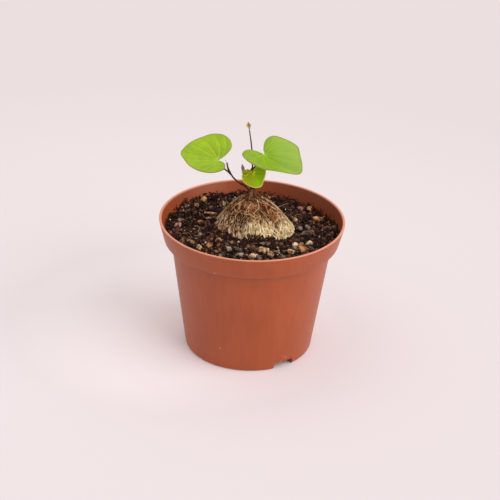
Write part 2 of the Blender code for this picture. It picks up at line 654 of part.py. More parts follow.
def leaf_axes(facing, spin_deg):
    """Return a leaf's axes: towards its tip, across it, and out of its upper face."""
    azimuth, elevation = (math.radians(a) for a in facing)
    spin = math.radians(spin_deg)
    normal = Vector((math.cos(elevation) * math.cos(azimuth), math.cos(elevation) * math.sin(azimuth),
                     math.sin(elevation)))
    level = Vector((0.0, 0.0, 1.0)).cross(normal).normalized()
    tipward = math.cos(spin) * level + math.sin(spin) * normal.cross(level)
    return tipward, normal.cross(tipward), normal


def leaf_lift(leaf, u, v):
    """Return how far a leaf's blade rises off its plane: folded at the midrib, drooping and cupped."""
    fold = math.tan(math.radians(leaf["folds"][0 if v > 0 else 1]))
    softened = math.sqrt(v * v + FOLD_SOFTNESS ** 2) - FOLD_SOFTNESS
    return fold * softened + (leaf["droop"] * u * u + leaf["cup"] * v * v) / (30 * MM)


def build_leaf(name, leaf, finish):
    """Build one heart-shaped leaf as a thin folded blade that fans out from its notch."""
    tipward, across, normal = leaf_axes(leaf["facing"], leaf["spin"])
    notch = Vector(leaf["notch"]) * MM
    rim = [Vector((angle, reach)) for angle, reach in leaf["reach"]]
    bm = bmesh.new()
    centre = bm.verts.new(notch)
    fan = []
    for i in range(LEAF_COLUMNS + 1):
        angle, reach = spline(rim, i / LEAF_COLUMNS)
        column = []
        for j in range(1, LEAF_ROWS + 1):
            far = reach * MM * j / LEAF_ROWS
            u, v = far * math.cos(math.radians(angle)), far * math.sin(math.radians(angle))
            column.append(bm.verts.new(notch + u * tipward + v * across + leaf_lift(leaf, u, v) * normal))
        fan.append(column)
    for left, right in zip(fan, fan[1:]):
        bm.faces.new((centre, left[0], right[0]))
        for j in range(LEAF_ROWS - 1):
            bm.faces.new((left[j], left[j + 1], right[j + 1]))
            bm.faces.new((left[j], right[j + 1], right[j]))
    blade = add_object(name, bm, finish)
    thickness = blade.modifiers.new("Thickness", "SOLIDIFY")
    thickness.thickness = BLADE_THICKNESS
    thickness.offset = 0.0
    shade(blade, 50)
    return blade


def build_shoot_tip():
    """Build the tuft of new growth that wraps the shoot: a small core with fleshy lobes round it."""
    core = bmesh.new()
    blob(core, TUFT_CENTRE, TUFT_HALF_SIZE)
    tuft = add_object("shoot_tip", core, "new_growth")
    lobes = []
    for k in range(TUFT_LOBES):
        turn = 2 * math.pi * k / TUFT_LOBES
        place = TUFT_CENTRE + Vector((TUFT_HALF_SIZE.x * math.cos(turn), TUFT_HALF_SIZE.y * math.sin(turn),
                                      TUFT_LOBE_HEIGHTS[k % 2]))
        lobe = bmesh.new()
        blob(lobe, place, (TUFT_LOBE_RADIUS, 0.8 * TUFT_LOBE_RADIUS, 0.9 * TUFT_LOBE_RADIUS), level=1)
        lobes.append(add_object(f"lobe_{k}", lobe))
    combine(tuft, lobes, "UNION")
    clearance = bmesh.new()
    tube(clearance, TRUNK_ROUTE, TRUNK_RADII, STEM_SIDES, TRUNK_STEPS, pad=1.2 * GAP)
    petiole = bmesh.new()
    tube(petiole, SMALL_PETIOLE_ROUTE, SMALL_PETIOLE_RADII, STEM_SIDES, 4, pad=1.2 * GAP)
    bud = bmesh.new()
    spindle(bud, BROWN_BUD_BASE, BROWN_BUD_TIP, BROWN_BUD_RADIUS, pad=1.2 * GAP)
    rooms = {"trunk_room": clearance, "petiole_room": petiole, "bud_room": bud}
    combine(tuft, [add_cutter(name, bm) for name, bm in rooms.items()], "DIFFERENCE")
    shade(tuft, 60)
    return tuft


def bud_turn(base, tip):
    """Return the turn that lays +Z along a bud."""
    return (tip - base).to_track_quat("Z", "Y").to_matrix()


def spindle(bm, base, tip, radius, sides=8, steps=6, pad=0.0):
    """Add a closed bud shape, blunt at its base and pointed at its tip, fatter by the pad for a cutter."""
    turn = bud_turn(base, tip)
    length = (tip - base).length
    loops = []
    for k in range(steps + 1):
        t = k / steps
        girth = radius * sum(factor * t ** power for power, factor in enumerate(BUD_GIRTH))
        rise = t * length + (2 * t - 1) * pad
        ring = circle(max(girth, BUD_POINT * radius) + pad, rise, sides)
        loops.append([base + turn @ point for point in ring])
    loft(bm, loops)


def build_buds():
    """Build the bud with its bracts at the top of the shoot, and the dry brown bud beside the tuft."""
    core = bmesh.new()
    spindle(core, BUD_TOP_BASE, BUD_TOP_TIP, BUD_TOP_RADIUS)
    top = add_object("bud_top", core, "husk")
    turn = bud_turn(BUD_TOP_BASE, BUD_TOP_TIP)
    bracts = []
    for k in range(BRACT_COUNT):
        around = 2 * math.pi * (k + 0.5) / BRACT_COUNT
        out = turn @ Vector((math.cos(around), math.sin(around), 0.0))
        up = turn @ Vector((0.0, 0.0, 1.0))
        base = BUD_TOP_BASE + up * (BRACT_FIRST + BRACT_STEP * k)
        tip = base + (out * BRACT_SPREAD + up * BRACT_REACH) * BRACT_LENGTH
        bract = bmesh.new()
        spindle(bract, base, tip, BRACT_RADIUS, sides=6, steps=4)
        bracts.append(add_object(f"bract_{k}", bract))
    combine(top, bracts, "UNION")
    shade(top, 50)
    brown = bmesh.new()
    spindle(brown, BROWN_BUD_BASE, BROWN_BUD_TIP, BROWN_BUD_RADIUS)
    shade(add_object("bud_brown", brown, "husk"), 50)


def main():
    """Build the whole potted plant."""
    clear_scene()
    build_pot()
    build_caudex()
    build_soil(build_chips() + build_sticks())
    build_stem()
    build_leaf("leaf_left", LEFT_LEAF, "leaf")
    build_leaf("leaf_right", RIGHT_LEAF, "leaf")
    build_leaf("leaf_small", SMALL_LEAF, "young_leaf")
    build_shoot_tip()
    build_buds()


main()
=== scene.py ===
"""Looks of a potted tortoise plant: a fibrous caudex with its vine and heart leaves in a moulded nursery pot.

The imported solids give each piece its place. Sizes in the classes are millimetres, and meshes are written in
metres, +Z up, with the pot standing on z = 0 and its front towards -Y.
"""

import contextlib
import functools
import logging
import math
import random
from dataclasses import dataclass
from enum import Enum
from typing import Any, Callable, Iterator, Optional, Sequence

import bmesh
import bpy
import numpy as np
from mathutils import Matrix, Vector, noise


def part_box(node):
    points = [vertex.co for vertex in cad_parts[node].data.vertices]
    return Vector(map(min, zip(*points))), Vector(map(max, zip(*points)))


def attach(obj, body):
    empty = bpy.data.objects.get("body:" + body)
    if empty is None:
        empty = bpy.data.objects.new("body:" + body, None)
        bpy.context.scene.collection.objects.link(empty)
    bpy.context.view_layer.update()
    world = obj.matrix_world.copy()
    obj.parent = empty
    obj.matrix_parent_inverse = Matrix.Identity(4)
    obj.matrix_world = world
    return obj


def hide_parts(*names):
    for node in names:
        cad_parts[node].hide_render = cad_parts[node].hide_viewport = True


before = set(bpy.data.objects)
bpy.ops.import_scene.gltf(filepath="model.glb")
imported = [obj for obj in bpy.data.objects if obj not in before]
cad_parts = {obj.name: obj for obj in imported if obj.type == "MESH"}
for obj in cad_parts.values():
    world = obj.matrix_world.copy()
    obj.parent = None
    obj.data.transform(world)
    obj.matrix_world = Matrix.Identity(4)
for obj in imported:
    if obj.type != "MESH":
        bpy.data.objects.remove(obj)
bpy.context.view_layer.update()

MM = 0.001
FULL_TURN = 2 * math.pi
SEED = 31
ROOT = "root"
LOG = logging.getLogger("tortoise_plant")

# Sockets of the Mix node when it mixes colours
MIX_A, MIX_B, MIX_RESULT = 6, 7, 2

Pair = tuple[float, float]
Triple = tuple[float, float, float]
Colour = tuple[float, float, float, float]
Line = tuple[Pair, ...]
Points = np.ndarray
Piece = bpy.types.Object
Socket = bpy.types.NodeSocket
AddNode = Callable[..., Socket]


class Slot(Enum):
    """The record's material slots, which the grains and the leaves list."""

    POT = "pot_plastic"
    SOIL = "soil"
    BARK = "caudex_bark"
    STEM = "stem"
    LEAF = "leaf"
    YOUNG_LEAF = "young_leaf"
    NEW_GROWTH = "new_growth"
    HUSK = "husk"
    TWIG = "twig"
    PALE = "pale_grit"
    TAN = "tan_chip"
    GREY = "grey_grit"
    RUST = "rust_chip"
    ORANGE = "orange_chip"


class Build(Enum):
    """The shape that a small loose grain is modelled from: how a ball is stretched along its axes."""

    LUMP = (1.0, 0.85, 0.8)
    FLAKE = (1.1, 0.8, 0.36)
    SLIVER = (2.1, 0.4, 0.34)


# Numbers and noise


def smooth_step(low: float, high: float, values: Points) -> Points:
    """Ease from 0 at low to 1 at high.

    Args:
        low: where the rise starts.
        high: where it ends.
        values: the values to ease.

    Returns:
        An array from 0 to 1.
    """
    share = np.clip((values - low) / (high - low), 0.0, 1.0)
    return share * share * (3.0 - 2.0 * share)


def noise_at(points: Points, size: float | Sequence[float], offset: float = 0.0) -> Points:
    """Read smooth noise at many points.

    Args:
        points: places in mm, one a row.
        size: the grain of the noise in mm, one number or one for each axis.
        offset: moves the noise, for another pattern.

    Returns:
        About -1 to 1 for each point.
    """
    return np.array([noise.noise(Vector(row)) for row in points / np.asarray(size, float) + offset])


def lumps_at(points: Points, size: float) -> Points:
    """Read a pattern of rounded lumps at many points.

    Args:
        points: places in mm, one a row.
        size: the lumps' spacing in mm.

    Returns:
        About 1 in the middle of a lump, down to 0 between lumps.
    """
    nearest = np.array([noise.voronoi(Vector(row))[0][0] for row in points / size])
    return 1.0 - np.clip(nearest, 0.0, 1.0)


def curve_through(points: Sequence[Sequence[float]], share: Points) -> Points:
    """Read places along a smooth curve through a few points, by the Catmull-Rom rule.

    Args:
        points: the points that the curve passes, in order.
        share: how far along to read, from 0 to 1.

    Returns:
        One row for each share.
    """
    knots = np.asarray(points, float)
    knots = np.vstack([2 * knots[0] - knots[1], knots, 2 * knots[-1] - knots[-2]])
    place = np.clip(share, 0.0, 1.0) * (len(knots) - 3)
    span = np.minimum(place.astype(int), len(knots) - 4)
    part = (place - span)[:, None]
    before, start, end, after = (knots[span + k] for k in range(4))
    return 0.5 * (2 * start + (end - before) * part + (2 * before - 5 * start + 4 * end - after) * part ** 2
                  + (3 * start - before - 3 * end + after) * part ** 3)


def round_axis(radius: Points | float, turn: Points, height: Points | float = 0.0) -> Points:
    """Return the points at a radius from the Z axis, in directions in radians, at a height."""
    return np.stack(np.broadcast_arrays(radius * np.cos(turn), radius * np.sin(turn), height), axis=1)


# Modelling


def read_points(piece: Piece) -> Points:
    """Return a piece's points in mm, one a row."""
    flat = np.empty(3 * len(piece.data.vertices), np.float32)
    piece.data.vertices.foreach_get("co", flat)
    return flat.reshape(-1, 3).astype(float) / MM


def write_points(piece: Piece, points: Points) -> None:
    """Move a piece's points to places given in mm."""
    piece.data.vertices.foreach_set("co", (points * MM).astype(np.float32).ravel())
    piece.data.update()


def store(piece: Piece, name: str, values: Points) -> None:
    """Keep one number for each point of a piece, for its material to read."""
    layer = piece.data.attributes.new(name, "FLOAT", "POINT")
    layer.data.foreach_set("value", np.asarray(values, np.float32))


def select_only(*pieces: Piece) -> None:
    """Select these pieces alone, the first one active, since an operator acts on all that is selected."""
    bpy.ops.object.select_all(action="DESELECT")
    for piece in pieces:
        piece.select_set(True)
    bpy.context.view_layer.objects.active = pieces[0]


@contextlib.contextmanager
def editing(piece: Piece, everything: bool = True) -> Iterator[bmesh.types.BMesh]:
    """Open a piece in edit mode, and leave it in object mode.

    Args:
        piece: the piece to shape.
        everything: whether all of it starts selected, or nothing.

    Yields:
        Its mesh, for choosing what the operators act on.
    """
    select_only(piece)
    bpy.ops.object.mode_set(mode="EDIT")
    bpy.ops.mesh.select_all(action="SELECT" if everything else "DESELECT")
    yield bmesh.from_edit_mesh(piece.data)
    bpy.ops.object.mode_set(mode="OBJECT")


def name_active(name: str) -> Piece:
    """Name the active piece and its data, and return it."""
    piece = bpy.context.object
    piece.name = piece.data.name = name
    return piece


def add_primitive(name: str, add: Callable[..., Any], **settings: Any) -> Piece:
    """Add a primitive while nothing else is selected.

    Args:
        name: the new piece's name.
        add: the primitive's operator.
        settings: its size and place, in metres.

    Returns:
        The piece.
    """
    bpy.ops.object.select_all(action="DESELECT")
    add(**settings)
    return name_active(name)


def close_up(piece: Piece, distance: float = 0.002) -> None:
    """Merge the doubled points of a piece's seams and poles, then turn its faces outwards.

    Args:
        piece: the piece to close.
        distance: how near points are merged, in mm.
    """
    with editing(piece):
        bpy.ops.mesh.remove_doubles(threshold=distance * MM)
        bpy.ops.mesh.normals_make_consistent(inside=False)


def apply_modifier(piece: Piece, kind: str, **settings: Any) -> None:
    """Add a modifier to a piece and apply it.

    Args:
        piece: the piece to change.
        kind: the modifier's type.
        settings: its values.
    """
    select_only(piece)
    bpy.ops.object.modifier_add(type=kind)
    modifier = piece.modifiers[-1]
    for key, value in settings.items():
        setattr(modifier, key, value)
    bpy.ops.object.modifier_apply(modifier=modifier.name)


def wrap_grid(name: str, columns: int, rows: int, form: Callable[[Points, Points], Points]) -> Piece:
    """Wrap a flat grid primitive round a form.

    Args:
        name: the new piece's name.
        columns: faces across the grid.
        rows: faces along it.
        form: gives the points in mm from arrays of the share across and the share along.

    Returns:
        The piece, with its seam and poles still open.
    """
    piece = add_primitive(name, bpy.ops.mesh.primitive_grid_add, x_subdivisions=columns,
                          y_subdivisions=rows, size=1.0)
    flat = read_points(piece) * MM + 0.5
    across = np.round(flat[:, 0] * columns) / columns
    along = np.round(flat[:, 1] * rows) / rows
    write_points(piece, form(across, along))
    return piece


def round_strands(name: str, routes: Sequence[Points], radii: Sequence[Points], bevel: int = 0) -> Piece:
    """Model round strands along routes as a bevelled curve, then turn it into a closed mesh.

    Args:
        name: the new piece's name.
        routes: the points of each strand, in mm.
        radii: the radius at each of those points, in mm.
        bevel: the bevel's resolution; a strand gets four sides and two more for each step.

    Returns:
        One piece that holds all the strands.
    """
    curve = add_primitive(name, bpy.ops.curve.primitive_nurbs_path_add).data
    curve.splines.clear()
    for route, radius in zip(routes, radii):
        strand = curve.splines.new("POLY")
        strand.points.add(len(route) - 1)
        strand.points.foreach_set("co", np.hstack([route * MM, np.ones((len(route), 1))]).ravel())
        strand.points.foreach_set("radius", np.asarray(radius, float))
    curve.bevel_depth = MM
    curve.bevel_resolution = bevel
    curve.use_fill_caps = True
    bpy.ops.object.convert(target="MESH")
    piece = name_active(name)
    close_up(piece)
    return piece


def scatter(name: str, patterns: Sequence[Piece], places: Points, sizes: Points, turns: Points,
            tones: Points) -> Piece:
    """Copy small modelled shapes to many places as one piece, and remove the shapes.

    Args:
        name: the new piece's name.
        patterns: triangulated shapes of 1 mm radius, used in rotation.
        places: the middle of each copy, in mm.
        sizes: how large each copy is along its own axes, in mm.
        turns: a rotation matrix for each copy.
        tones: a number for each copy, kept as the attribute "tone".

    Returns:
        The piece.
    """
    all_points, all_faces, all_tones, used = [], [], [], 0
    for k, pattern in enumerate(patterns):
        shape = read_points(pattern)
        faces = np.array([face.vertices[:] for face in pattern.data.polygons])
        mine = np.arange(k, len(places), len(patterns))
        copies = np.einsum("nij,nvj->nvi", turns[mine], shape[None] * sizes[mine][:, None, :])
        all_points.append((copies + places[mine][:, None, :]).reshape(-1, 3))
        starts = used + len(shape) * np.arange(len(mine))
        all_faces.append((faces[None] + starts[:, None, None]).reshape(-1, 3))
        all_tones.append(np.repeat(tones[mine], len(shape)))
        used += len(shape) * len(mine)
        bpy.data.objects.remove(pattern, do_unlink=True)
    mesh = bpy.data.meshes.new(name)
    mesh.from_pydata((np.vstack(all_points) * MM).tolist(), [], np.vstack(all_faces).tolist())
    piece = bpy.data.objects.new(name, mesh)
    bpy.context.scene.collection.objects.link(piece)
    store(piece, "tone", np.concatenate(all_tones))
    return piece


def random_turns(draw: np.random.Generator, count: int, tilt: float) -> Points:
    """Draw rotation matrices that spin freely about Z and lean by up to a tilt.

    Args:
        draw: the seeded generator.
        count: how many to draw.
        tilt: the greatest lean, in radians.

    Returns:
        An array of 3 by 3 matrices.
    """
    turns = []
    for spin, lean, side in draw.uniform((0, -tilt, -tilt), (FULL_TURN, tilt, tilt), (count, 3)):
        leaning = Matrix.Rotation(lean, 3, "X") @ Matrix.Rotation(side, 3, "Y")
        turns.append(leaning @ Matrix.Rotation(spin, 3, "Z"))
    return np.array(turns)


def grain_patterns(build: Build, count: int = 4, unevenness: float = 0.42) -> list[Piece]:
    """Model the few shapes that loose grains are copied from.

    Args:
        build: lump, flake or sliver.
        count: how many different shapes.
        unevenness: how far a corner is moved at most, in mm.

    Returns:
        Triangulated pieces of about 1 mm radius.
    """
    patterns = []
    for k in range(count):
        pattern = add_primitive(f"{build.name}_{k}", bpy.ops.mesh.primitive_ico_sphere_add, subdivisions=1,
                                radius=MM)
        with editing(pattern):
            bpy.ops.transform.vertex_random(offset=unevenness * MM, uniform=0.0, normal=0.0,
                                            seed=SEED + 7 * k)
            bpy.ops.transform.resize(value=build.value)
        patterns.append(pattern)
    return patterns


def deliver(piece: Piece, material: bpy.types.Material, stands_for: Sequence[str] = (),
            crease: Optional[float] = None) -> None:
    """Dress a finished piece, let it ride on the plant's one body, and report it.

    Args:
        piece: the piece, with its place in its mesh.
        material: its finish.
        stands_for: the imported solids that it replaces.
        crease: edges sharper than this angle in degrees stay crisp; flat shading if it is None.
    """
    select_only(piece)
    if crease is None:
        bpy.ops.object.shade_flat()
    else:
        bpy.ops.object.shade_smooth_by_angle(angle=math.radians(crease))
    piece.data.materials.clear()
    piece.data.materials.append(material)
    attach(piece, ROOT)
    if stands_for:
        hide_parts(*stands_for)
    LOG.info("%-16s %7d faces, %s", piece.name, len(piece.data.polygons), material.name)


# Materials


def linear(hex_colour: str) -> Colour:
    """Turn an sRGB hex colour linear, as a shader's sockets take it.

    Args:
        hex_colour: such as "#A8573F".

    Returns:
        Red, green, blue and alpha.
    """
    channels = [int(hex_colour[i:i + 2], 16) / 255.0 for i in (1, 3, 5)]
    red, green, blue = (c / 12.92 if c <= 0.04045 else ((c + 0.055) / 1.055) ** 2.4 for c in channels)
    return (red, green, blue, 1.0)


def per_metre(size: float) -> float:
    """Return a texture's scale from the real size of its pattern in mm."""
    return 1.0 / (size * MM)


def add_node(tree: bpy.types.NodeTree, kind: str, inputs: Optional[dict[str | int, Any]] = None,
             output: str | int = 0, stops: Sequence[tuple[float, str]] = (), **settings: Any) -> Socket:
    """Add a shader node with its settings and links.

    Args:
        tree: the material's nodes.
        kind: the node's type, without its "ShaderNode".
        inputs: for each input, by name or number, a value to set or another node's output to link.
        output: the output that is wanted, by name or number.
        stops: a colour ramp's places and sRGB hex colours.
        settings: the node's own properties.

    Returns:
        The wanted output.
    """
    node = tree.nodes.new(f"ShaderNode{kind}")
    for key, value in settings.items():
        setattr(node, key, value)
    for key, value in (inputs or {}).items():
        if isinstance(value, Socket):
            tree.links.new(value, node.inputs[key])
        else:
            node.inputs[key].default_value = value
    for k, (place, colour) in enumerate(stops):
        stop = node.color_ramp.elements[k] if k < 2 else node.color_ramp.elements.new(place)
        stop.position = place
        stop.color = linear(colour)
    return node.outputs[output]


@dataclass(frozen=True)
class Finish:
    """A real surface: its name, how rough it is, how strongly it bends light, and its fine relief.

    The bump is how strongly the relief shows. The relief is its depth in mm, and inverted turns it over.
    """

    name: str
    roughness: float
    ior: float = 1.5
    bump: float = 0.0
    relief: float = 0.0
    inverted: bool = False

    def pattern(self, add: AddNode, place: Socket) -> tuple[Socket, Socket]:
        """Add the nodes of the surface's pattern.

        Args:
            add: adds a node.
            place: the place on the piece.

        Returns:
            The colour and the relief's height.
        """
        raise NotImplementedError

    def material(self) -> bpy.types.Material:
        """Make the material: even values on the shader, and the pattern's colour and relief.

        Returns:
            The material.
        """
        material = bpy.data.materials.new(self.name)
        material.use_nodes = True
        tree = material.node_tree
        shader = tree.nodes["Principled BSDF"]
        shader.inputs["Roughness"].default_value = self.roughness
        shader.inputs["IOR"].default_value = self.ior
        add = functools.partial(add_node, tree)
        colour, height = self.pattern(add, add("TexCoord", output="Object"))
        tree.links.new(colour, shader.inputs["Base Color"])
        if self.relief:
            skin = add("Bump", {"Height": height, "Strength": self.bump, "Distance": self.relief * MM},
                       invert=self.inverted)
            tree.links.new(skin, shader.inputs["Normal"])
        return material


@dataclass(frozen=True)
class MouldedPlastic(Finish):
    """Injection-moulded polypropylene: an even terracotta with a satin gloss.

    The melt leaves faint flow streaks down the wall and handling leaves specks of dust. The thin lip is
    painted paler, a painted highlight that draws a light line round the soil. Inside, painted shade darkens
    the wall, most on the right.
    """

    name: str = "moulded_polypropylene"
    roughness: float = 0.42
    ior: float = 1.49
    bump: float = 0.25
    relief: float = 0.05
    body: str = "#A0481E"
    streak: str = "#97431A"
    dust: str = "#CC8F78"
    # Painted shade for the inner wall
    silt: str = "#3E170B"
    # Painted highlight along the top of the lip, with its depth in mm and its strength
    lip_highlight: str = "#EA9A7C"
    lip_height: float = 90.0
    lip_highlight_depth: float = 0.8
    lip_highlight_strength: float = 0.75
    streak_width: float = 3.0
    streak_squeeze: float = 0.06
    streak_fade: Pair = (0.8, 1.2)
    mottle: float = 26.0
    grain: float = 0.45
    dust_spacing: float = 15.0
    dust_radius: float = 0.9
    dusting: float = 0.5

    def pattern(self, add: AddNode, place: Socket) -> tuple[Socket, Socket]:
        """Streak the wall, then lay dust, painted shade inside and the lip's painted highlight over it.

        Args:
            add: adds a node.
            place: the place on the piece.

        Returns:
            The colour and the relief's height.
        """
        drawn = add("Mapping", {"Vector": place, "Scale": (1.0, 1.0, self.streak_squeeze)})
        flow = add("TexNoise", {"Vector": drawn, "Scale": per_metre(self.streak_width), "Detail": 4.0})
        cloud = add("TexNoise", {"Vector": place, "Scale": per_metre(self.mottle), "Detail": 3.0})
        both = add("Math", {0: flow, 1: cloud}, operation="ADD")
        streaked = add("MapRange", {"Value": both, "From Min": self.streak_fade[0],
                                    "From Max": self.streak_fade[1]})
        specks = add("TexVoronoi", {"Vector": place, "Scale": per_metre(self.dust_spacing)}, "Distance")
        reach = self.dust_radius / self.dust_spacing
        dusty = add("MapRange", {"Value": specks, "From Min": reach, "From Max": 0.4 * reach,
                                 "To Max": self.dusting})
        # Painted shade on the inner wall, darkest on the right
        shaded_inside = add("Attribute", output="Fac", attribute_name="silt")
        height = add("SeparateXYZ", {"Vector": place}, "Z")
        # Painted highlight: the top of the lip painted paler
        worn = add("MapRange", {"Value": height, "From Min": (self.lip_height - self.lip_highlight_depth) * MM,
                                "From Max": self.lip_height * MM, "To Max": self.lip_highlight_strength})
        colour = linear(self.body)
        for share, over in ((streaked, self.streak), (dusty, self.dust), (shaded_inside, self.silt),
                            (worn, self.lip_highlight)):
            colour = add("Mix", {0: share, MIX_A: colour, MIX_B: linear(over)}, MIX_RESULT, data_type="RGBA")
        return colour, add("TexNoise", {"Vector": place, "Scale": per_metre(self.grain), "Detail": 2.0})


@dataclass(frozen=True)
class LooseMineral(Finish):
    """Crumbs and chips of peat, bark, clay or stone: matt, each one a little lighter or darker.

    The eye sees separate grains because every grain has its own tone. On the chips the tone also holds
    painted shade in the pits, painted highlight on the bumps and paler upward faces. Loose, porous stuff
    hardly shines, so it bends light less than solid stone. Its tones are dark, middle and light.
    """

    ior: float = 1.3
    bump: float = 0.6
    relief: float = 0.25
    tones: tuple[str, str, str] = ("#130502", "#3D1B0F", "#7E5442")
    grain: float = 0.7
    contrast: float = 0.5

    def pattern(self, add: AddNode, place: Socket) -> tuple[Socket, Socket]:
        """Mottle each grain round its own tone, which the attribute "tone" gives.

        Args:
            add: adds a node.
            place: the place on the piece.

        Returns:
            The colour and the relief's height.
        """
        tone = add("Attribute", output="Fac", attribute_name="tone")
        mottle = add("TexNoise", {"Vector": place, "Scale": per_metre(self.grain), "Detail": 4.0,
                                  "Roughness": 0.65})
        centred = add("Math", {0: mottle, 1: 0.5}, operation="SUBTRACT")
        spread = add("Math", {0: centred, 1: 2.0 * self.contrast, 2: tone}, operation="MULTIPLY_ADD")
        dark, middle, light = self.tones
        return add("ValToRGB", {"Fac": spread}, stops=((0.05, dark), (0.95, light), (0.5, middle))), mottle


@dataclass(frozen=True)
class FibrousCork(Finish):
    """The caudex's young cork: dry fibres running down from the crown, over darker furrows.

    The eye sees a matted brown crown, tan fibres below it, a straw-coloured flank low on the front and
    right, and dark stains where wet peat clings. The furrows are darker, partly by the cork's own colour and
    partly by painted shade that deepens with the relief. The fibres are drawn coarser than the finest real
    ones, so that they show.
    """

    name: str = "fibrous_cork"
    roughness: float = 0.9
    ior: float = 1.3
    bump: float = 0.7
    relief: float = 0.3
    crown_dark: str = "#863C1C"
    crown_middle: str = "#BC6C3A"
    crown_light: str = "#D69E66"
    crown_furrow: str = "#421A08"
    tan_ridge: str = "#E8BA90"
    tan_furrow: str = "#2C1206"
    pale_ridge: str = "#F8E0AE"
    pale_furrow: str = "#6C4828"
    red_stain: str = "#8A4425"
    peat_stain: str = "#1E100A"
    fibre_width: float = 0.8
    fibre_length: float = 5.0
    fibre_contrast: float = 1.35
    crown_patch: float = 5.0

    def pattern(self, add: AddNode, place: Socket) -> tuple[Socket, Socket]:
        """Lay the pale flank, the crown and the stains over tan cork, each by its own attribute.

        Args:
            add: adds a node.
            place: the place on the piece.

        Returns:
            The colour and the relief's height.
        """
        squeeze = self.fibre_width / self.fibre_length
        drawn = add("Mapping", {"Vector": place, "Scale": (1.0, 1.0, squeeze)})
        fibres = add("TexNoise", {"Vector": drawn, "Scale": per_metre(self.fibre_width), "Detail": 3.0,
                                  "Roughness": 0.7})
        centred = add("Math", {0: fibres, 1: 0.5}, operation="SUBTRACT")
        sunk = add("Attribute", output="Fac", attribute_name="furrow")
        depth = add("Math", {0: centred, 1: self.fibre_contrast, 2: sunk}, operation="MULTIPLY_ADD",
                    use_clamp=True)
        patches = add("TexNoise", {"Vector": place, "Scale": per_metre(self.crown_patch), "Detail": 2.0})
        root = add("ValToRGB", {"Fac": patches},
                   stops=((0.36, self.crown_dark), (0.64, self.crown_light), (0.5, self.crown_middle)))
        # Furrows darker partly by the cork's own colour, partly by painted shade
        zones = ((linear(self.tan_ridge), self.tan_furrow), (linear(self.pale_ridge), self.pale_furrow),
                 (root, self.crown_furrow))
        cork, straw, crown = (
            add("Mix", {0: depth, MIX_A: ridge, MIX_B: linear(furrow)}, MIX_RESULT, data_type="RGBA")
            for ridge, furrow in zones)
        for mark, over in (("pale", straw), ("crown", crown), ("stain", linear(self.red_stain)),
                           ("peat", linear(self.peat_stain))):
            share = add("Attribute", output="Fac", attribute_name=mark)
            cork = add("Mix", {0: share, MIX_A: cork, MIX_B: over}, MIX_RESULT, data_type="RGBA")
        return cork, fibres


@dataclass(frozen=True)
class PlainFibre(Finish):
    """Dry root fibres, bud scales and leaflets: two tones, light and dark, that change along each strand."""

    ior: float = 1.35
    bump: float = 0.4
    relief: float = 0.15
    tones: tuple[str, str] = ("#C9AE7C", "#7C5D3C")
    grain: float = 1.6

    def pattern(self, add: AddNode, place: Socket) -> tuple[Socket, Socket]:
        """Mottle the fibre.

        Args:
            add: adds a node.
            place: the place on the piece.

        Returns:
            The colour and the relief's height.
        """
        mottle = add("TexNoise", {"Vector": place, "Scale": per_metre(self.grain), "Detail": 3.0})
        share = add("MapRange", {"Value": mottle, "From Min": 0.35, "From Max": 0.65})
        light, dark = (linear(tone) for tone in self.tones)
        return add("Mix", {0: share, MIX_A: light, MIX_B: dark}, MIX_RESULT, data_type="RGBA"), mottle


@dataclass(frozen=True)
class VineBark(Finish):
    """The vine's thin bark: nearly black at the crown, purple brown above, olive where a stalk is young."""

    name: str = "vine_bark"
    roughness: float = 0.75
    ior: float = 1.35
    bump: float = 0.5
    relief: float = 0.12
    old: str = "#2C170D"
    middle: str = "#5A3A28"
    young: str = "#7E7A3A"
    grain: float = 1.2
    contrast: float = 0.7

    def pattern(self, add: AddNode, place: Socket) -> tuple[Socket, Socket]:
        """Mottle the bark by its age, which the attribute "age" gives from 0, old, to 1, young.

        Args:
            add: adds a node.
            place: the place on the piece.

        Returns:
            The colour and the relief's height.
        """
        age = add("Attribute", output="Fac", attribute_name="age")
        mottle = add("TexNoise", {"Vector": place, "Scale": per_metre(self.grain), "Detail": 3.0})
        centred = add("Math", {0: mottle, 1: 0.5}, operation="SUBTRACT")
        varied = add("Math", {0: centred, 1: self.contrast, 2: age}, operation="MULTIPLY_ADD")
        stops = ((0.1, self.old), (0.95, self.young), (0.5, self.middle))
        return add("ValToRGB", {"Fac": varied}, stops=stops), mottle


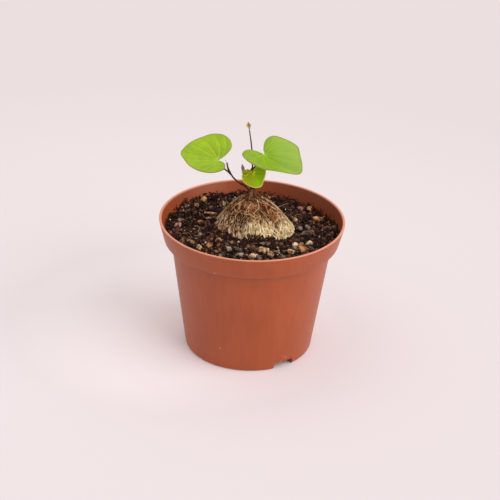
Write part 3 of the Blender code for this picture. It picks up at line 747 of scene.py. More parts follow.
@dataclass(frozen=True)
class LivingLeaf(Finish):
    """A thin waxy blade full of light: fresh green with paler veins, a fine net and a drier margin.

    The blade is painted darker towards one side and paler towards the other: painted shade and painted light,
    as the blade is folded and holds light unevenly.
    Light soaks a little way into it, as deep as the glow depth in mm.
    """

    name: str = "living_leaf"
    roughness: float = 0.5
    ior: float = 1.33
    bump: float = 0.35
    relief: float = 0.15
    inverted: bool = True
    blade: str = "#92B014"
    shade: str = "#80A012"
    # Colours of the painted shade on one side of the blade and the painted light on the other
    dusk: str = "#6C8412"
    glow: str = "#B4CE4C"
    vein: str = "#AECB42"
    margin: str = "#86862F"
    cloud: float = 9.0
    net: float = 2.2
    net_width: float = 0.07
    net_strength: float = 0.3
    glow_weight: float = 0.15
    glow_colours: Triple = (0.6, 1.0, 0.2)
    glow_depth: float = 0.6

    def pattern(self, add: AddNode, place: Socket) -> tuple[Socket, Socket]:
        """Cloud the green, lay painted shade and light on it, and draw net, "vein" and "margin" over it.

        Args:
            add: adds a node.
            place: the place on the piece.

        Returns:
            The colour and the relief's height.
        """
        dusk, vein, margin = (add("Attribute", output="Fac", attribute_name=name)
                              for name in ("dusk", "vein", "margin"))
        cloud = add("TexNoise", {"Vector": place, "Scale": per_metre(self.cloud), "Detail": 3.0})
        clouded = add("MapRange", {"Value": cloud, "From Min": 0.35, "From Max": 0.65})
        # Painted shade towards one side of the blade and painted light towards the other
        darker, lighter = (add("MapRange", {"Value": dusk, "From Max": end}) for end in (1.0, -1.0))
        flat = add("TexCoord", output="UV")
        cells = add("TexVoronoi", {"Vector": flat, "Scale": 1.0 / self.net}, "Distance",
                    feature="DISTANCE_TO_EDGE")
        net = add("MapRange", {"Value": cells, "From Min": self.net_width, "From Max": 0.0,
                               "To Max": self.net_strength})
        lines = add("Math", {0: net, 1: vein}, operation="MAXIMUM")
        green = linear(self.blade)
        for share, over in ((clouded, self.shade), (darker, self.dusk), (lighter, self.glow),
                            (lines, self.vein), (margin, self.margin)):
            green = add("Mix", {0: share, MIX_A: green, MIX_B: linear(over)}, MIX_RESULT, data_type="RGBA")
        return green, lines

    def material(self) -> bpy.types.Material:
        """Make the blade's material and let light soak into it.

        Returns:
            The material.
        """
        material = super().material()
        shader = material.node_tree.nodes["Principled BSDF"]
        shader.inputs["Subsurface Weight"].default_value = self.glow_weight
        shader.inputs["Subsurface Radius"].default_value = self.glow_colours
        shader.inputs["Subsurface Scale"].default_value = self.glow_depth * MM
        return material


@dataclass(frozen=True)
class PaleCard(Finish):
    """Matt card under the pot, which gives the eye a plain pale ground.

    It is painted a little lighter round the pot, most on its shadow's side, and darker far off: painted light
    that lifts the pot's shadow, as if a white sheet threw light back.
    """

    name: str = "pale_card"
    roughness: float = 1.0
    ior: float = 1.1
    # Painted light: near, middle and far tones, lightest round the pot's shadow and darker far off
    tones: tuple[str, str, str] = ("#F8EEF0", "#E1D7D9", "#D8CDCE")
    centre: Triple = (-45.0, 20.0, 0.0)
    reach: Triple = (40.0, 115.0, 450.0)

    def pattern(self, add: AddNode, place: Socket) -> tuple[Socket, Socket]:
        """Paint the card lighter near the lightest spot and darker farther from it.

        Args:
            add: adds a node.
            place: the place on the piece.

        Returns:
            The colour and the distance.
        """
        centre = tuple(coordinate * MM for coordinate in self.centre)
        away = add("VectorMath", {0: place, 1: centre}, "Value", operation="DISTANCE")
        share = add("MapRange", {"Value": away, "From Max": self.reach[2] * MM})
        near, middle, far = ((reach / self.reach[2], tone) for reach, tone in zip(self.reach, self.tones))
        return add("ValToRGB", {"Fac": share}, stops=(near, far, middle)), share


# Pot


@dataclass
class NurseryPot:
    """A thin moulded pot: tapered wall, deep collar, rolled lip, raised base, gapped foot and drain holes."""

    sides: int = 192
    lip_thickness: float = 1.7
    lip_round: float = 0.7
    collar_bottom_radius: float = 56.3
    collar_height: float = 14.7
    shoulder_radius: float = 51.95
    shoulder_drop: float = 1.0
    inner_drop: float = 1.7
    wall_base_radius: float = 41.9
    foot_radius: float = 41.0
    foot_round: float = 0.9
    wall_thickness: float = 1.3
    foot_width: float = 1.8
    base_rise: float = 5.2
    base_thickness: float = 1.4
    gate_radius: float = 2.2
    gate_drop: float = 0.5
    notch_count: int = 3
    notch_first_deg: float = -56.0
    notch_width: float = 14.3
    notch_height: float = 4.7
    notch_round: float = 1.3
    drain_count: int = 8
    drain_radius: float = 3.2
    drain_circle: float = 29.0
    wall_rows: int = 9
    # How much painted shade darkens the inner wall, and where it grows towards the right
    silt: Pair = (0.03, 0.39)
    silt_edge: Pair = (-0.6, 0.8)

    def __post_init__(self) -> None:
        """Take the rim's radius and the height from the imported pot, and work out the inner heights."""
        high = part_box("pot")[1] / MM
        self.rim_radius = high.x
        self.height = high.z
        self.shoulder = self.height - self.collar_height - self.shoulder_drop
        self.inner_turn = self.shoulder + self.inner_drop
        self.floor = self.base_rise + self.base_thickness

    def inner_radius(self, height: float) -> float:
        """Read the inner wall's radius at a height.

        Args:
            height: above the ground, in mm.

        Returns:
            The radius in mm.
        """
        heights = (self.floor, self.shoulder, self.inner_turn, self.height - self.lip_round)
        radii = (self.wall_base_radius - self.wall_thickness, self.shoulder_radius - self.wall_thickness,
                 self.collar_bottom_radius - self.wall_thickness, self.rim_radius - self.lip_thickness)
        return float(np.interp(height, heights, radii))

    def corners(self) -> list[Triple]:
        """List the profile's corners from under the base, over the lip and down to the inner floor.

        Returns:
            Radius, height and how far each corner is rounded, in mm.
        """
        shoulder, drop, floor = self.shoulder, self.shoulder_drop, self.floor
        foot_inside = self.foot_radius - self.foot_width
        outside = [(self.gate_radius, self.base_rise - self.gate_drop, 0.2),
                   (1.6 * self.gate_radius, self.base_rise, 0.3), (foot_inside, self.base_rise, 0.5),
                   (foot_inside, 0.0, 0.4), (self.foot_radius - 0.1, 0.0, 0.5),
                   (self.wall_base_radius, self.foot_round, 0.6)]
        for k in range(1, self.wall_rows):
            share = k / self.wall_rows
            outside.append((self.wall_base_radius + share * (self.shoulder_radius - self.wall_base_radius),
                            self.foot_round + share * (shoulder - self.foot_round), 0.0))
        outside += [(self.shoulder_radius, shoulder, 0.8),
                    (self.shoulder_radius + drop, shoulder + 0.7 * drop, 0.6),
                    (self.collar_bottom_radius, shoulder + drop, 1.3),
                    (self.rim_radius, self.height, self.lip_round)]
        inside = [(self.rim_radius - self.lip_thickness, self.height, self.lip_round)]
        for height, rounding in ((self.inner_turn, 1.2), (shoulder, 1.2), (floor, 1.5)):
            inside.append((self.inner_radius(height), height, rounding))
        return outside + inside + [(self.gate_radius, floor, 0.0)]

    def rounded_profile(self, steps: int = 5) -> list[Pair]:
        """Round the profile's corners.

        Args:
            steps: how many faces each rounded corner has.

        Returns:
            Radius and height of each ring of the pot, in mm.
        """
        corners = [Vector(corner) for corner in self.corners()]
        rings = [(corners[0].x, corners[0].y)]
        for before, corner, after in zip(corners, corners[1:], corners[2:]):
            if corner.z == 0.0:
                rings.append((corner.x, corner.y))
                continue
            legs = [end.xy - corner.xy for end in (before, after)]
            starts = [corner.xy + leg.normalized() * min(corner.z, 0.45 * leg.length) for leg in legs]
            for k in range(steps + 1):
                t = k / steps
                point = starts[0] * (1 - t) ** 2 + 2 * corner.xy * t * (1 - t) + starts[1] * t ** 2
                rings.append((point.x, point.y))
        rings.append((corners[-1].x, corners[-1].y))
        return rings

    def turn_body(self) -> Piece:
        """Extrude a disc ring by ring along the profile, and close the floor inside.

        Returns:
            The pot without its gaps and holes.
        """
        rings = self.rounded_profile()
        radius, height = rings[0]
        body = add_primitive("nursery_pot", bpy.ops.mesh.primitive_circle_add, vertices=self.sides,
                             radius=radius * MM, fill_type="NGON")
        with editing(body):
            bpy.ops.transform.translate(value=(0.0, 0.0, height * MM))
            bpy.ops.mesh.select_mode(type="EDGE")
            bpy.ops.mesh.select_all(action="DESELECT")
            bpy.ops.mesh.select_non_manifold(extend=False)
            for next_radius, next_height in rings[1:]:
                rise = (0.0, 0.0, (next_height - height) * MM)
                bpy.ops.mesh.extrude_edges_move(TRANSFORM_OT_translate={"value": rise})
                growth = next_radius / radius
                bpy.ops.transform.resize(value=(growth, growth, 1.0), center_override=(0.0, 0.0, 0.0))
                radius, height = next_radius, next_height
            bpy.ops.mesh.edge_face_add()
            bpy.ops.mesh.select_all(action="SELECT")
            bpy.ops.mesh.normals_make_consistent(inside=False)
        return body

    def cut(self, body: Piece, cutter: Piece) -> None:
        """Cut a shape out of the pot and remove the cutter."""
        apply_modifier(body, "BOOLEAN", operation="DIFFERENCE", solver="EXACT", object=cutter)
        bpy.data.objects.remove(cutter, do_unlink=True)

    def build(self) -> Piece:
        """Model the pot with the gaps in its foot and its drain holes, and keep where painted shade falls
        inside.

        Returns:
            The pot.
        """
        body = self.turn_body()
        for k in range(self.drain_count):
            turn = FULL_TURN * (k + 0.5) / self.drain_count
            place = Vector((math.cos(turn), math.sin(turn), 0.0)) * self.drain_circle
            place.z = self.base_rise + 0.5 * self.base_thickness
            hole = add_primitive("drain_cutter", bpy.ops.mesh.primitive_cylinder_add, vertices=32,
                                 radius=self.drain_radius * MM, depth=3 * self.base_thickness * MM,
                                 location=place * MM)
            self.cut(body, hole)
        for k in range(self.notch_count):
            turn = math.radians(self.notch_first_deg + 360.0 * k / self.notch_count)
            place = Vector((math.cos(turn), math.sin(turn), 0.0)) * self.foot_radius
            size = Vector((5 * self.foot_width, self.notch_width, 2 * self.notch_height)) * MM
            gap = add_primitive("gap_cutter", bpy.ops.mesh.primitive_cube_add, size=1.0, location=place * MM,
                                rotation=(0.0, 0.0, turn), scale=size)
            bpy.ops.object.transform_apply(location=False, rotation=False, scale=True)
            with editing(gap, everything=False) as mesh:
                for edge in mesh.edges:
                    ends = [vertex.co for vertex in edge.verts]
                    edge.select_set(abs(ends[0].x - ends[1].x) > self.foot_width * MM)
                bpy.ops.mesh.bevel(offset=self.notch_round * MM, segments=5, affect="EDGES")
            self.cut(body, gap)
        points = read_points(body)
        wall = np.array([self.inner_radius(height) for height in points[:, 2]])
        inside = (np.hypot(points[:, 0], points[:, 1]) < wall + 0.3) & (points[:, 2] > self.floor - 0.1)
        # Painted shade on the inner wall, darkest towards the right
        rightwards = smooth_step(*self.silt_edge, points[:, 0] / self.rim_radius)
        store(body, "silt", inside * (self.silt[0] + self.silt[1] * rightwards))
        return body

    def dress(self, body: Piece) -> None:
        """Give the pot its finish and hand it over."""
        deliver(body, MouldedPlastic().material(), ["pot"], crease=30)


# Caudex


@dataclass
class Caudex:
    """A low woody cone with fibrous cork, rooted below the soil.

    The profile lists heights above the soil and the share of the outline left there. The lines round the cone
    and its gaps list directions in degrees and heights; the dome and dark patches add a radius.
    """

    centre: Pair = (1.7, 7.7)
    radius: float = 24.0
    oval: float = 1.8
    bulge: float = 2.1
    soil_line: float = 80.0
    depth: float = 11.0
    height: float = 23.0
    lean: Pair = (-1.7, 0.3)
    profile: Line = ((-11.0, 0.80), (-6.0, 0.93), (0.0, 1.0), (3.0, 0.93), (6.0, 0.84), (10.0, 0.71),
                     (14.0, 0.585), (18.0, 0.42), (21.0, 0.24), (23.0, 0.13))
    ridge_count: int = 26
    ridge_depth: float = 0.9
    fissure_count: int = 7
    fissure_depth: float = 0.8
    drift: float = 2.2
    broad_drift: Triple = (9.0, 9.0, 5.0)
    fine_drift: Triple = (3.0, 3.0, 2.5)
    curl: float = 0.8
    curl_size: float = 2.2
    fibre_size: Triple = (1.6, 1.6, 6.0)
    fine_share: Triple = (0.55, 0.55, 0.4)
    fibre_depth: float = 1.0
    root_size: Triple = (2.8, 2.8, 6.5)
    pale_top: Line = ((-130.0, -3.0), (-114.0, 5.0), (-103.0, 12.0), (-88.0, 13.6), (-69.0, 13.2),
                      (-52.0, 11.2), (-38.0, 9.6), (-20.0, 8.6), (0.0, 7.6), (25.0, 4.0), (45.0, -3.0))
    pale_edge: Pair = (-1.2, 2.2)
    crown_edge: Pair = (9.5, 13.5)
    peat_line: Line = ((-180.0, -0.6), (-150.0, 0.6), (-131.0, 0.2), (-116.0, -0.6), (-97.0, 1.4),
                       (-78.0, 3.6), (-62.0, 3.2), (-52.0, 0.0), (-23.0, -1.0), (40.0, 0.5), (120.0, 1.0),
                       (180.0, -0.6))
    gaps: tuple[Line, ...] = (
        ((-147.0, 5.6), (-138.0, 7.6), (-129.0, 8.7), (-108.0, 9.6)),
        ((-128.0, 13.0), (-124.0, 9.5), (-117.0, 4.0)), ((-46.0, 12.6), (-44.0, 10.5), (-41.0, 7.6)),
        ((-104.0, 13.0), (-97.0, 11.6), (-95.0, 9.8)), ((-74.0, 11.8), (-70.0, 9.6), (-68.0, 6.8)),
        ((-140.0, 14.5), (-133.0, 12.0), (-135.0, 10.0)), ((-160.0, 12.0), (-157.0, 8.0), (-163.0, 4.0)),
        ((-125.0, 19.6), (-112.0, 20.4), (-90.0, 20.9), (-74.0, 20.2)))
    gap_width: float = 0.5
    dome: Triple = (-92.0, 18.6, 3.6)
    dark_patches: tuple[Triple, ...] = (
        (-114.0, 13.0, 3.0), (-137.0, 13.2, 3.4), (-60.0, 16.0, 2.4), (-163.0, 15.5, 3.0), (-28.0, 17.0, 2.4),
        (-88.0, 14.8, 1.8), (-90.0, 23.0, 3.0))
    red_stain: Pair = (15.0, 13.5)
    red_edge: Pair = (1.5, 6.0)
    columns: int = 600
    rows: int = 128

    def outline(self, turn: Points) -> Points:
        """Return the caudex's radius at the soil in each direction, in mm."""
        return self.radius + self.oval * np.cos(2 * turn) - self.bulge * np.sin(2 * turn)

    def share_at(self, rise: Points) -> Points:
        """Return the share of the outline that is left at each rise above the soil."""
        smooth = curve_through(self.profile, np.linspace(0.0, 1.0, 200))
        return np.interp(rise, smooth[:, 0], smooth[:, 1])

    def surface(self, turn: Points, rise: Points, out: Points | float = 0.0) -> Points:
        """Return points of the cone's smooth surface.

        Args:
            turn: directions in radians from +X.
            rise: heights above the soil line, in mm.
            out: how far to move outwards, in mm.

        Returns:
            Places in mm, one a row.
        """
        radius = self.outline(turn) * self.share_at(rise) + out
        climb = np.clip(rise, 0.0, None) / self.height
        return np.stack([self.centre[0] + self.lean[0] * climb + radius * np.cos(turn),
                         self.centre[1] + self.lean[1] * climb + radius * np.sin(turn),
                         self.soil_line + rise], axis=1)

    def main_relief(self, turn: Points, rise: Points) -> Points:
        """Work out the depth of the broad grooves and fissures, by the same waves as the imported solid's.

        Args:
            turn: directions in radians.
            rise: heights above the soil in mm.

        Returns:
            Depths in mm.
        """
        share = rise / self.height
        sway = 0.5 * noise_at(round_axis(2.0, turn, 3.0 * share), 1.0)
        groove = 0.5 + 0.5 * np.sin(self.ridge_count * (turn + 0.12 * sway) + 3.0 * sway)
        patchy = 0.6 + 0.4 * noise_at(round_axis(3.0, turn, 6.0 * share), 1.0)
        fissure = np.clip(np.sin(self.fissure_count * turn + 5.0 * sway + 1.0), 0.0, None) ** 3
        fade = np.clip((rise + 1.5) / 3.0, 0.0, 1.0) * np.clip(1.25 - share, 0.0, 1.0)
        return fade * (self.ridge_depth * patchy * groove + self.fissure_depth * fissure)

    def line_at(self, line: Line, turn: Points) -> Points:
        """Read how high a line drawn round the caudex runs in each direction.

        Args:
            line: directions in degrees and heights above the soil in mm.
            turn: directions in radians.

        Returns:
            Heights in mm, far below the soil where the line has ended.
        """
        degrees = (np.degrees(turn) + 180.0) % 360.0 - 180.0
        knots = np.array(line)
        return np.interp(degrees, knots[:, 0], knots[:, 1], left=-99.0, right=-99.0)

    def zones(self, turn: Points, rise: Points) -> tuple[Points, Points]:
        """Say how far each place belongs to the matted crown and to the pale flank.

        Args:
            turn: directions in radians.
            rise: heights above the soil in mm.

        Returns:
            Two arrays from 0 to 1; where both are 0 lies the tan flank.
        """
        pale = smooth_step(*self.pale_edge, self.line_at(self.pale_top, turn) - rise)
        return smooth_step(*self.crown_edge, rise) * (1.0 - pale), pale

    def near_patches(self, places: Points, patches: Sequence[Triple]) -> Points:
        """Say how near places are to patches of the surface.

        Args:
            places: places in mm, one a row.
            patches: direction in degrees, rise and radius in mm of each patch.

        Returns:
            About 1 in a patch, falling to 0 outside it.
        """
        nearness = np.zeros(len(places))
        for degrees, rise, radius in patches:
            middle = self.surface(np.radians([degrees]), np.array([rise]))
            away = np.linalg.norm(places - middle, axis=1)
            nearness = np.maximum(nearness, np.exp(-(away / radius) ** 2))
        return nearness

    def gap_relief(self, places: Points) -> Points:
        """Say how deep each place lies in one of the dark gaps.

        Args:
            places: places in mm, one a row.

        Returns:
            From 0 to 1 for each place.
        """
        relief = np.zeros(len(places))
        width = self.gap_width * (1.0 + 0.8 * noise_at(places, 1.8, 33.0))
        for gap in self.gaps:
            knots = curve_through(gap, np.linspace(0.0, 1.0, 40))
            route = self.surface(np.radians(knots[:, 0]), knots[:, 1])
            distance = np.min([np.linalg.norm(places - place, axis=1) for place in route], axis=0)
            relief = np.maximum(relief, np.exp(-(distance / np.maximum(width, 0.15)) ** 2))
        return relief

    def fibre_relief(self, turn: Points, rise: Points) -> Points:
        """Lay long fibres down the flank and matted roots over the crown, with smooth cork on the dome.

        Args:
            turn: directions in radians.
            rise: heights above the soil in mm.

        Returns:
            How far each place lies in a furrow, from 0 on a fibre to 1.
        """
        around = round_axis(self.radius, turn, rise)
        drift = noise_at(around, self.broad_drift, 4.0) + 0.5 * noise_at(around, self.fine_drift, 9.0)
        curled = self.drift * drift + self.curl * noise_at(around, self.curl_size, 12.0)
        lifted = rise + self.curl * noise_at(around, self.curl_size, 15.0)
        laid = round_axis(self.radius, turn + curled / self.radius, lifted)
        fibre_size, root_size = np.array(self.fibre_size), np.array(self.root_size)
        coarse = 1.0 - np.abs(2.0 * noise_at(laid, fibre_size, 20.0))
        fine = 1.0 - np.abs(2.0 * noise_at(laid, fibre_size * self.fine_share, 40.0))
        fibres = np.clip(1.75 - 1.3 * coarse - 0.8 * fine, 0.0, 1.0)
        laid = laid * (self.share_at(rise)[:, None] * (1.0, 1.0, 0.0) + (0.0, 0.0, 1.0))
        roots = 1.0 - np.abs(3.0 * noise_at(laid, root_size, 60.0))
        finer_roots = 1.0 - np.abs(3.0 * noise_at(laid, 0.5 * root_size, 70.0))
        strands = np.clip(np.maximum(roots, 0.75 * finer_roots), 0.0, 1.0)
        matted = np.clip(1.15 - 1.1 * strands ** 2, 0.0, 1.0)
        upper = smooth_step(0.4 * self.height, 0.6 * self.height, rise + 1.5 * drift)
        places = self.surface(turn, rise)
        uneven = 1.0 - 0.7 * self.near_patches(places, (self.dome,))
        return np.maximum(((1.0 - upper) * fibres + upper * matted) * uneven, self.gap_relief(places))

    def build(self) -> Piece:
        """Wrap a fine grid round the cone, raise its fibres and keep where each colour lies.

        Returns:
            The caudex.
        """
        flank = np.linspace(-2.0, self.height, self.rows - 4)
        rises = np.concatenate([[-self.depth, -self.depth, -0.5 * self.depth], flank,
                                [self.height + 0.2] * 2])
        widths = np.ones(self.rows + 1)
        widths[0] = widths[-1] = 0.0
        widths[-2] = 0.5
        marks: dict[str, Points] = {}

        def form(across: Points, along: Points) -> Points:
            """Place the grid's points on the fibrous cone."""
            row = np.round(along * self.rows).astype(int)
            turn = FULL_TURN * (across % 1.0)
            rise = rises[row]
            furrow = self.fibre_relief(turn, rise)
            sunk = self.main_relief(turn, rise) + self.fibre_depth * furrow
            points = self.surface(turn, rise, out=0.25 - sunk)
            axis = self.surface(turn, rise, out=-self.outline(turn) * self.share_at(rise))
            marks.update(self.colour_marks(turn, rise, furrow, sunk))
            return axis + (points - axis) * widths[row][:, None]

        caudex = wrap_grid("caudex_cork", self.columns, self.rows, form)
        for name, values in marks.items():
            store(caudex, name, values)
        close_up(caudex)
        return caudex

    def colour_marks(self, turn: Points, rise: Points, furrow: Points, sunk: Points) -> dict[str, Points]:
        """Say how furrowed, matted, pale, stained and peaty each place is.

        Args:
            turn: directions in radians.
            rise: heights above the soil in mm.
            furrow: the fibres' furrows.
            sunk: the whole relief in mm.

        Returns:
            Values from 0 to 1 by attribute name.
        """
        places = self.surface(turn, rise)
        patch = noise_at(places, 5.0, 80.0)
        streak = noise_at(places, (1.6, 1.6, 6.0), 90.0)
        speck = noise_at(places, 1.2, 95.0)
        mottle = noise_at(places, (2.2, 2.2, 4.0), 85.0)
        raised = rise + 2.5 * patch + 3.5 * streak + 1.5 * (furrow - 0.5)
        crown, pale = self.zones(turn + 0.15 * patch, raised)
        tan = (1.0 - crown) * (1.0 - pale)
        from_stain = np.hypot(places[:, 0] - self.red_stain[0],
                              places[:, 2] - (self.soil_line + self.red_stain[1]))
        frontwards = smooth_step(0.0, 0.5, -np.sin(turn))
        stain = (1.0 - smooth_step(*self.red_edge, from_stain + 3.0 * speck)) * frontwards
        clinging = self.line_at(self.peat_line, turn) + 2.6 * (furrow - 0.45)
        wet = 1.0 - smooth_step(-0.6, 1.0, rise - clinging + 1.3 * patch + 1.1 * speck)
        broken = np.clip(0.55 + 0.5 * streak + 0.4 * furrow, 0.0, 1.0)
        dark = self.near_patches(places, self.dark_patches) * broken
        # The furrow mark deepens with the relief: partly the cork's own colour, partly painted shade
        return {"furrow": np.clip(1.3 * furrow + 0.2 * sunk - 0.19 - 0.1 * pale + 0.26 * tan, 0.0, 1.0),
                "crown": crown, "pale": pale * np.clip(0.82 + 1.1 * mottle, 0.25, 1.0),
                "stain": stain * np.clip(0.5 + streak + 0.5 * speck, 0.0, 0.8),
                "peat": np.maximum(0.92 * wet, 0.6 * dark)}

    def dress(self, caudex: Piece) -> None:
        """Give the caudex its cork and hand it over."""
        deliver(caudex, FibrousCork().material(), ["caudex"], crease=70)


class Zone(Enum):
    """Where on the caudex a fibre grows."""

    CROWN = "crown_roots"
    TAN = "tan_fibres"
    PALE = "straw_fibres"


@dataclass(frozen=True)
class Fibres:
    """One kind of loose fibre on the cork: how many, how long and thick, how far astray, and its finish."""

    zone: Zone
    count: int
    length: Pair
    radius: Pair
    sideways: float
    fall: Pair
    finish: PlainFibre


@dataclass
class CorkFibres:
    """Loose fibres that lie down the caudex and lift off it a little, and matted roots over its crown."""

    caudex: Caudex
    points: int = 9
    heights: Pair = (1.0, 22.0)
    floor: Pair = (-0.8, 1.8)
    lift: Pair = (0.1, 0.6)
    sunk: float = 0.3

    def share_of(self, zone: Zone, turn: float, rise: float) -> float:
        """Return how likely a fibre at a place on the caudex is of a zone's kind."""
        crown, pale = (float(part[0]) for part in self.caudex.zones(np.array([turn]), np.array([rise])))
        return {Zone.CROWN: crown, Zone.PALE: pale, Zone.TAN: (1.0 - crown) * (1.0 - pale)}[zone]

    def routes(self, fibres: Fibres) -> tuple[list[Points], list[Points]]:
        """Draw the fibres' routes and radii.

        Args:
            fibres: their kind.

        Returns:
            A route and its radii for each fibre, in mm.
        """
        draw = np.random.default_rng(SEED + len(fibres.zone.value))
        share = np.linspace(0.0, 1.0, self.points)
        low, high = self.heights
        routes, radii = [], []
        while len(routes) < fibres.count:
            start, height, chance, stray = draw.uniform((-math.pi, low, 0.0, -1.0), (math.pi, high, 1.0, 1.0))
            length = draw.uniform(*fibres.length)
            fall = 0.85 * length * draw.uniform(*fibres.fall)
            end = start + stray * fibres.sideways
            floor = self.caudex.line_at(self.caudex.peat_line, np.array([end]))[0] + draw.uniform(*self.floor)
            if chance > self.share_of(fibres.zone, start, height) or height - fall < floor:
                continue
            curl = 0.3 * fibres.sideways * np.sin(draw.uniform(3.0, 8.0) * share + 9.0 * start)
            rise = np.minimum(height - fall * share, self.caudex.height - 1.0)
            lift = draw.uniform(*self.lift) * np.sin(math.pi * share) - self.sunk
            routes.append(self.caudex.surface(start + (end - start) * share + curl, rise, out=lift))
            radii.append(draw.uniform(*fibres.radius) * (1.0 - 0.75 * (2 * share - 1) ** 2))
        return routes, radii

    def build(self) -> None:
        """Model each zone's fibres and hand them over."""
        root = PlainFibre("crown_root", 0.8, tones=("#CFA06C", "#63371C"), grain=4.0)
        tan = PlainFibre("tan_fibre", 0.8, tones=("#E6BE96", "#5C321E"), grain=2.4)
        straw = PlainFibre("straw_fibre", 0.7, tones=("#FFEEC2", "#BE9C66"), grain=3.0)
        kinds = (Fibres(Zone.CROWN, 130, (4.0, 12.0), (0.16, 0.40), 0.35, (0.2, 1.0), root),
                 Fibres(Zone.TAN, 120, (2.5, 6.0), (0.13, 0.27), 0.09, (0.75, 1.0), tan),
                 Fibres(Zone.PALE, 190, (2.5, 6.5), (0.13, 0.28), 0.07, (0.8, 1.0), straw))
        for fibres in kinds:
            strands = round_strands(fibres.zone.value, *self.routes(fibres))
            deliver(strands, fibres.finish.material(), crease=60)


# Soil


@dataclass(frozen=True)
class Grains:
    """One kind of loose grain on the soil, and how far it keeps to the front, from 0 to 1."""

    name: str
    build: Build
    count: int
    size: Pair
    finish: LooseMineral
    slot: Slot
    lift: float = 0.15
    tone: Pair = (0.45, 0.22)
    front: float = 0.0


